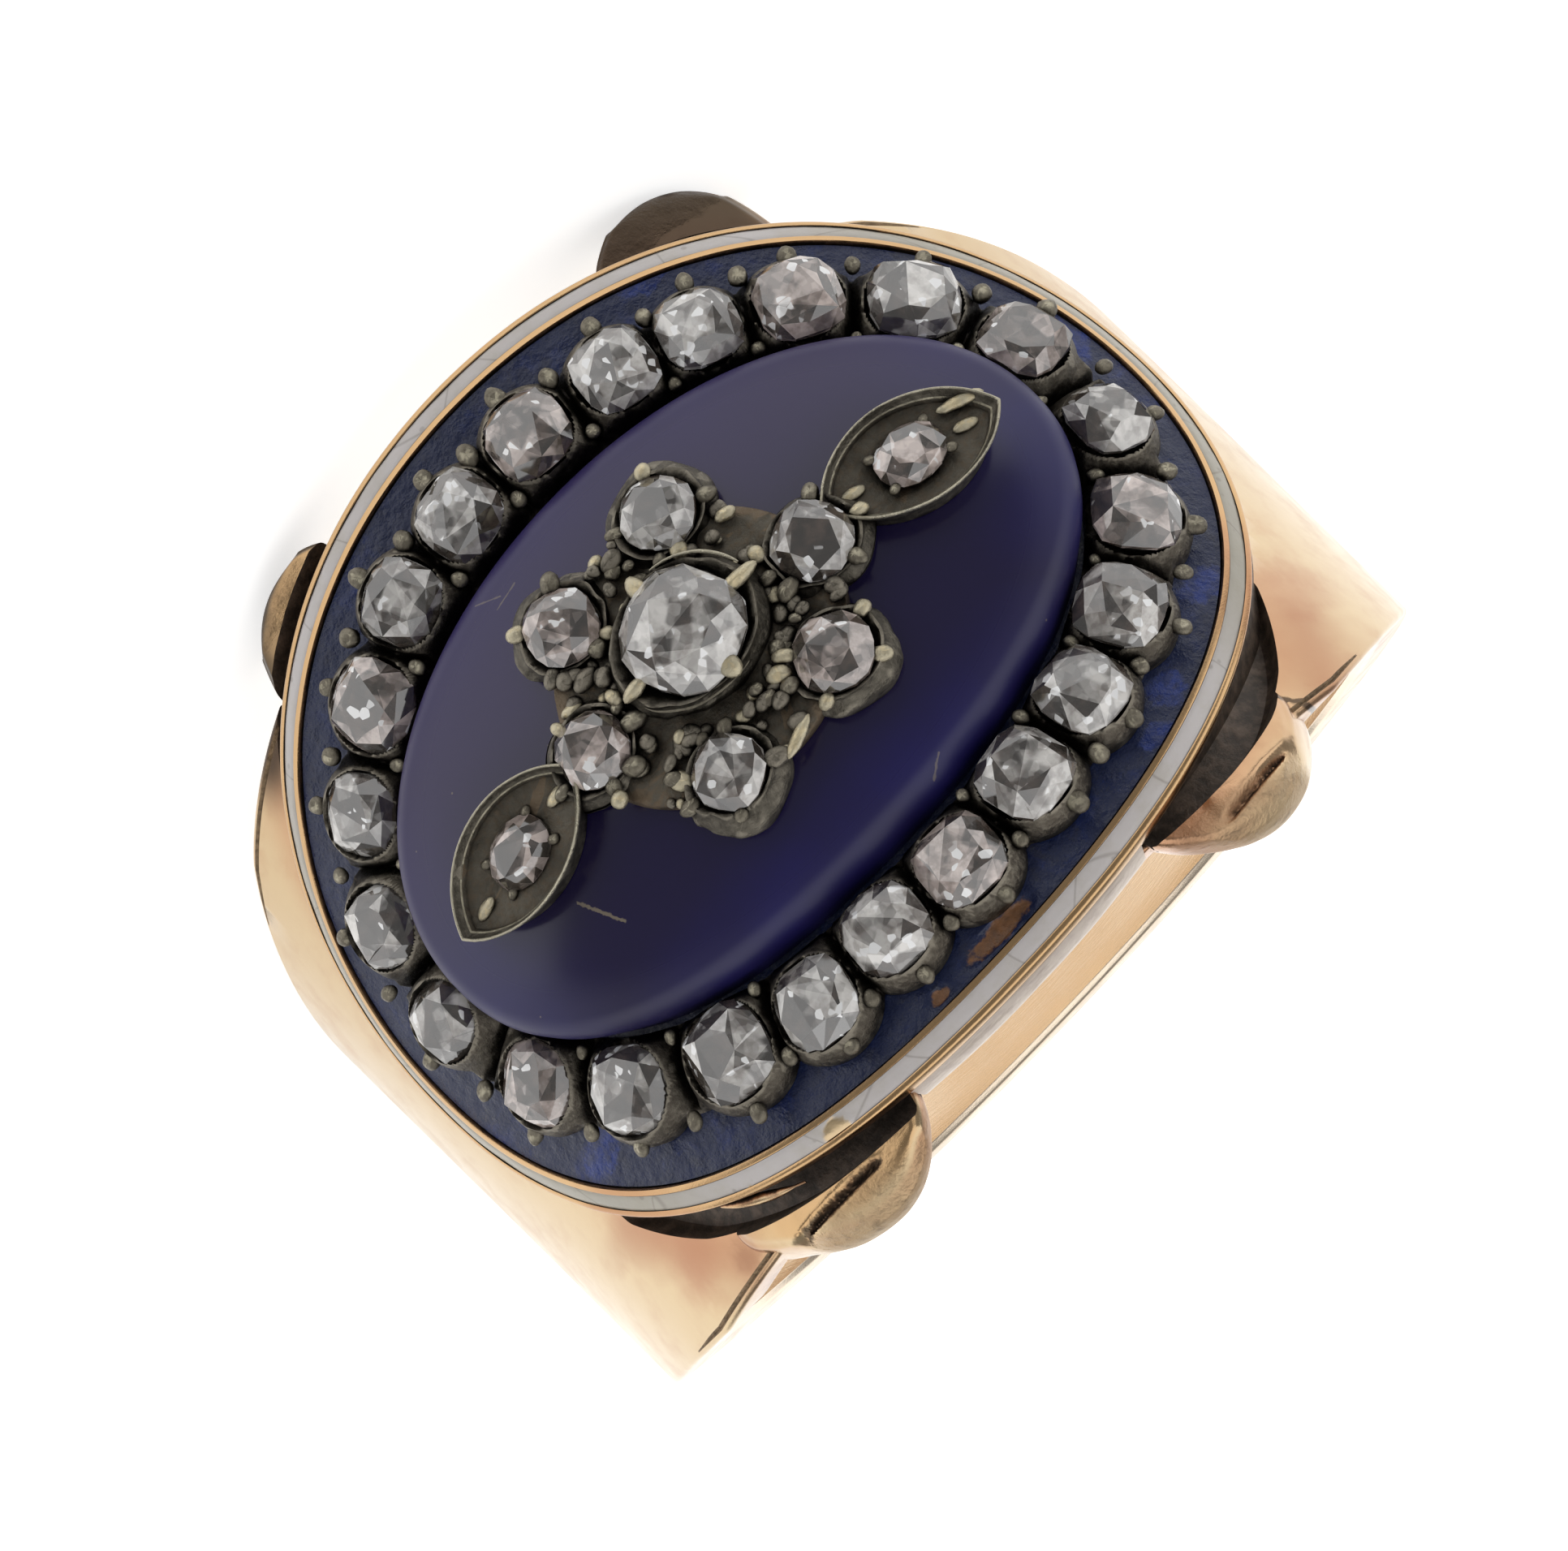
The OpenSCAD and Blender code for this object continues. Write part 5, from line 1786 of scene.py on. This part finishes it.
def add_petal(shell, seat, middle, head, silver, chance):
    """Adds the wavy collet of one petal stone, and the beads that hold the stone."""
    away = math.atan2(seat.across - middle.across, seat.along - middle.along)
    size = max(silver.petal_r, seat.width / 2 + 0.24 * MM)
    wave = chance.uniform(0, 6)

    def outline(turns):
        lobe = 0.06 * np.cos(turns - away) + 0.03 * np.cos(3 * (turns - away))
        return size * (1 + lobe + 0.03 * np.cos(5 * turns + wave))

    top = seat.height - head.gap
    add_collet(shell, seat, outline, top, head, 0.16 * MM)
    for side in (-1, 1, 0, 2.3, -2.1):
        lean = away + side * math.radians(chance.uniform(60, 84)) + chance.uniform(-0.2, 0.2)
        place = beside(seat.place, seat.width / 2 + chance.uniform(0.06, 0.14) * MM, lean)
        wide = chance.uniform(0.12, 0.19) * MM
        look = chance.choice((CRUSTED, BEAD, BEAD, GRAIN))
        add_bead(shell, place, top - 0.02 * MM, wide, head, lean, chance.uniform(1.1, 1.6), look=look)


def middle_size(middle, silver):
    """Radius of the middle stone's collet."""
    return middle.width / 2 + silver.middle_wall


def add_middle(shell, middle, head, silver):
    """Adds the collet of the middle stone."""
    size = middle_size(middle, silver)

    def outline(turns):
        return size * (1 + 0.03 * np.cos(2 * turns + 0.6))

    add_collet(shell, middle, outline, middle.height - head.gap, head, 0.1 * MM)


def add_claws(shell, middle, head, silver):
    """Adds the claws over the middle stone."""
    height = middle.height - head.gap + 0.05 * MM
    for lean, long, wide in CLAWS:
        lean = math.radians(lean)
        place = beside(middle.place, middle_size(middle, silver) - 0.24 * MM, lean)
        add_bead(shell, place, height, wide * MM, head, lean, long / wide, 0.9, look=GRAIN, sink=0.3)


def add_leaf_beads(shell, seat, turn, head, silver, chance):
    """Adds the beads around a leaf's stone, and a streak of pale gold at each of its ends."""
    reach = seat.width / 2 + 0.05 * MM
    for lean in (0.6, 2.5, 3.8, 5.6):
        place = (seat.along + 1.12 * reach * math.cos(lean), seat.across + reach * math.sin(lean))
        add_bead(shell, place, seat.height, 0.1 * MM, head, lean, 1.3, look=BEAD)
    for side in (-1, 1):
        place = beside(seat.place, side * chance.uniform(1.05, 1.2) * MM, turn)
        height = silver.leaf_h - silver.leaf_bowl - 0.02 * MM
        add_bead(shell, place, height, 0.13 * MM, head, turn, 1.9, 0.6, look=GRAIN)


def add_grains(shell, stones, head, silver, chance):
    """Adds rough grains of metal between the petals and the middle stone."""
    placed = 0
    while placed < GRAINS:
        a, far = chance.uniform(0, 2 * math.pi), chance.uniform(1.45, 2.75) * MM
        place = beside((head.field_shift, 0), far, a)
        room = min(math.dist(place, stone.place) - stone.width / 2 for stone in stones)
        if 0.16 * MM < room < 0.6 * MM:
            placed += 1
            radius = chance.uniform(0.09, 0.19) * MM
            height = silver.web_h + chance.uniform(0.0, 0.2) * MM
            look = chance.choice((CRUSTED, CRUSTED, BEAD, GRAIN))
            lean, stretch = chance.uniform(0, 3), chance.uniform(1, 1.5)
            add_bead(shell, place, height, radius, head, lean, stretch, look=look)


def cut_stone(width, square, chance, tall, table):
    """Points of an old cut stone, uneven as a hand made it, with its girdle's foot at height 0."""
    points = []
    for out, height, start, step, loose in (
        (table, tall, 1, 2, 1.0),
        (0.40, 0.19, 0, 2, 1.2),
        (0.495, 0.045, 0, 1, 0.4),
        (0.495, 0.0, 0, 1, 0.0),
        (0.27, -0.15, 1, 2, 1.0),
    ):
        for k in range(start, 16, step):
            a = 2 * math.pi * k / 16 + chance.uniform(-0.07, 0.07) * loose
            cushion = (abs(math.cos(a)) ** square + abs(math.sin(a)) ** square) ** (-1 / square)
            r = out * width * cushion * (1 + chance.uniform(-0.06, 0.06) * loose)
            level = height * width * (1 + chance.uniform(-0.1, 0.1) * loose)
            points.append((r * math.cos(a), r * math.sin(a), level))
    points.append((0, 0, -0.27 * width))
    return np.array(points)


# How each kind of stone is cut: how square it is, how far it tips and how long it is for its width
CUTS = [
    {"kind": "border_stone", "square": 3.3, "tilt": 0.07, "stretch": 1.0},
    {"kind": "petal_stone", "square": 2.4, "tilt": 0.08, "stretch": 1.0},
    {"kind": "leaf_stone", "square": 2.2, "tilt": 0.05, "stretch": 1.28},
    {"kind": "middle_stone", "square": 2.6, "tilt": 0.04, "stretch": 1.0},
]

# Finishes that are drawn for the stones, the clear one twice as often
STONE_LOOKS = ["diamond_clear", "diamond_grey", "diamond_clear", "diamond_rose"]


def stone_object(seat, cut, turn, look, head, rest, chance):
    """One stone, cut as the hull of its corners."""
    tall, table = chance.uniform(0.24, 0.29), chance.uniform(0.22, 0.32)
    corners = cut_stone(seat.width, cut["square"], chance, tall, table)
    spin = np.array(Matrix.Rotation(turn, 3, "Z")) @ np.diag([cut["stretch"], 1, 1])
    tip = (chance.uniform(-cut["tilt"], cut["tilt"]), chance.uniform(-cut["tilt"], cut["tilt"]))
    mesh = bpy.data.meshes.new(seat.node + "_cut")
    hull = bmesh.new()
    for point in moved(in_seat(corners @ spin.T, seat, head, tip), rest):
        hull.verts.new(point)
    bmesh.ops.convex_hull(hull, input=hull.verts)
    bmesh.ops.delete(hull, geom=[v for v in hull.verts if not v.link_faces], context="VERTS")
    flat_angle = math.radians(5)
    bmesh.ops.dissolve_limit(
        hull, angle_limit=flat_angle, verts=hull.verts, edges=hull.edges, delimit={"NORMAL"}
    )
    bmesh.ops.recalc_face_normals(hull, faces=hull.faces)
    hull.to_mesh(mesh)
    hull.free()
    mesh.materials.append(bpy.data.materials[look])
    finish_piece(new_object(mesh.name, mesh), "diamond", seat.node)


class RING_OT_stones(bpy.types.Operator):
    """Cuts every stone and sets it in its seat"""

    bl_idname = "ring.stones"
    bl_label = "Stones"

    def execute(self, context):
        scene = context.scene
        head, rest = scene.ring_head, resting(scene.ring_hoop)
        row = StoneRow(head, scene.ring_silver)
        chance = random.Random(11)
        for cut in CUTS:
            for seat in seats(scene, cut["kind"]):
                turn = chance.uniform(0, 2 * math.pi)
                if cut["kind"] == "border_stone":
                    turn = row.heading(seat.along - head.field_shift, seat.across) + chance.uniform(-0.2, 0.2)
                if cut["kind"] == "leaf_stone":
                    turn = chance.uniform(-0.1, 0.1)
                stone_object(seat, cut, turn, chance.choice(STONE_LOOKS), head, rest, chance)
        return {"FINISHED"}


class RING_OT_stage(bpy.types.Operator):
    """Sets up the floor, the lights and the camera"""

    bl_idname = "ring.stage"
    bl_label = "Studio"

    def execute(self, context):
        scene = context.scene
        stage, hoop, head = scene.ring_stage, scene.ring_hoop, scene.ring_head
        make_floor()
        make_lights(stage)
        make_camera(stage, hoop, head)
        scene.view_settings.view_transform = "Standard"
        scene.view_settings.look = "None"
        return {"FINISHED"}


def make_floor():
    """A wide pale floor at the height on which the ring lies."""
    half = 1.5
    corners = [(x * half, y * half, 0) for x, y in ((-1, -1), (1, -1), (1, 1), (-1, 1))]
    mesh = bpy.data.meshes.new("floor")
    mesh.from_pydata(corners, [], [(0, 1, 2, 3)])
    mesh.materials.append(bpy.data.materials["pale_floor"])
    floor = new_object("floor", mesh)


# Softboxes: place, what they face, width and height, in metres, and brightness
SOFTBOXES = [
    {"name": "top", "at": (0, 0.04, 0.22), "to": (0, 0, 0), "size": (0.42, 0.34), "glow": 1.12},
    {"name": "left", "at": (-0.30, 0.0, 0.16), "to": (0, 0, 0.01), "size": (0.25, 0.25), "glow": 1.1},
    {"name": "right", "at": (0.30, 0.03, 0.16), "to": (0, 0, 0.01), "size": (0.25, 0.25), "glow": 1.1},
]


def make_lights(stage):
    """Soft panels of light around the ring, and a dim room."""
    for box in SOFTBOXES:
        light = bpy.data.lights.new("softbox_" + box["name"], "AREA")
        light.shape = "RECTANGLE"
        light.size, light.size_y = box["size"]
        light.energy = box["glow"] * math.pi * box["size"][0] * box["size"][1]
        panel = new_object(light.name, light)
        panel.location = box["at"]
        toward = Vector(box["to"]) - Vector(box["at"])
        panel.rotation_euler = toward.to_track_quat("-Z", "Y").to_euler()
        panel.visible_camera = False
    world = bpy.data.worlds.new("room")
    world.use_nodes = True
    back = world.node_tree.nodes["Background"]
    back.inputs["Color"].default_value = (1, 1, 1, 1)
    back.inputs["Strength"].default_value = stage.room
    bpy.context.scene.world = world


def make_camera(stage, hoop, head):
    """The camera, which looks down on the head at a slant."""
    level_part = math.cos(stage.above)
    toward = (level_part * math.cos(stage.around), level_part * math.sin(stage.around), math.sin(stage.above))
    toward = Vector(toward)
    level = Vector((0, 1, 0)).cross(toward).normalized()
    upright = toward.cross(level)
    right = math.cos(stage.roll) * level + math.sin(stage.roll) * upright
    up = math.cos(stage.roll) * upright - math.sin(stage.roll) * level
    crown = Vector((head.shift, 0, head.crown_z))
    eye = crown + stage.distance * toward + stage.aim_right * right + stage.aim_up * up
    turn = Matrix((right, up, toward)).transposed().to_4x4()
    camera = bpy.data.cameras.new("camera")
    camera.lens = stage.lens
    camera.sensor_width = 36
    camera.sensor_fit = "HORIZONTAL"
    camera.clip_start = 0.05
    camera.clip_end = 20
    seen = new_object("camera", camera)
    seen.matrix_world = resting(hoop) @ Matrix.Translation(eye) @ turn
    bpy.context.scene.camera = seen


class RING_PT_panel(bpy.types.Panel):
    """Lists the steps that make the ring"""

    bl_idname = "RING_PT_panel"
    bl_label = "Enamel ring"
    bl_space_type = "VIEW_3D"
    bl_region_type = "UI"
    bl_category = "Ring"

    def draw(self, context):
        for operator in OPERATORS:
            self.layout.operator(operator.bl_idname)
        for name in SETTINGS:
            box = self.layout.box()
            for prop in getattr(context.scene, name).bl_rna.properties:
                if prop.identifier not in {"rna_type", "name"}:
                    box.prop(getattr(context.scene, name), prop.identifier)


SETTINGS = {
    "ring_hoop": RingHoopSizes,
    "ring_head": RingHeadSizes,
    "ring_silver": RingSilverSizes,
    "ring_finishes": RingFinishes,
    "ring_stage": RingStage,
}
OPERATORS = (
    RING_OT_finishes,
    RING_OT_stage,
    RING_OT_gold_mount,
    RING_OT_enamels,
    RING_OT_border,
    RING_OT_flower,
    RING_OT_stones,
)


def register():
    """Makes the operators, the panel and the settings known to Blender."""
    for name, settings in SETTINGS.items():
        bpy.utils.register_class(settings)
        setattr(bpy.types.Scene, name, bpy.props.PointerProperty(type=settings))
    for operator in OPERATORS:
        bpy.utils.register_class(operator)
    bpy.utils.register_class(RING_PT_panel)


def unregister():
    """Takes them away again."""
    bpy.utils.unregister_class(RING_PT_panel)
    for operator in reversed(OPERATORS):
        bpy.utils.unregister_class(operator)
    for name, settings in SETTINGS.items():
        delattr(bpy.types.Scene, name)
        bpy.utils.unregister_class(settings)


def main():
    """Makes the whole ring, step by step."""
    register()
    bpy.ops.ring.finishes()
    bpy.ops.ring.stage()
    bpy.ops.ring.gold_mount()
    bpy.ops.ring.enamels()
    bpy.ops.ring.border()
    bpy.ops.ring.flower()
    bpy.ops.ring.stones()


if __name__ == "__main__":
    main()
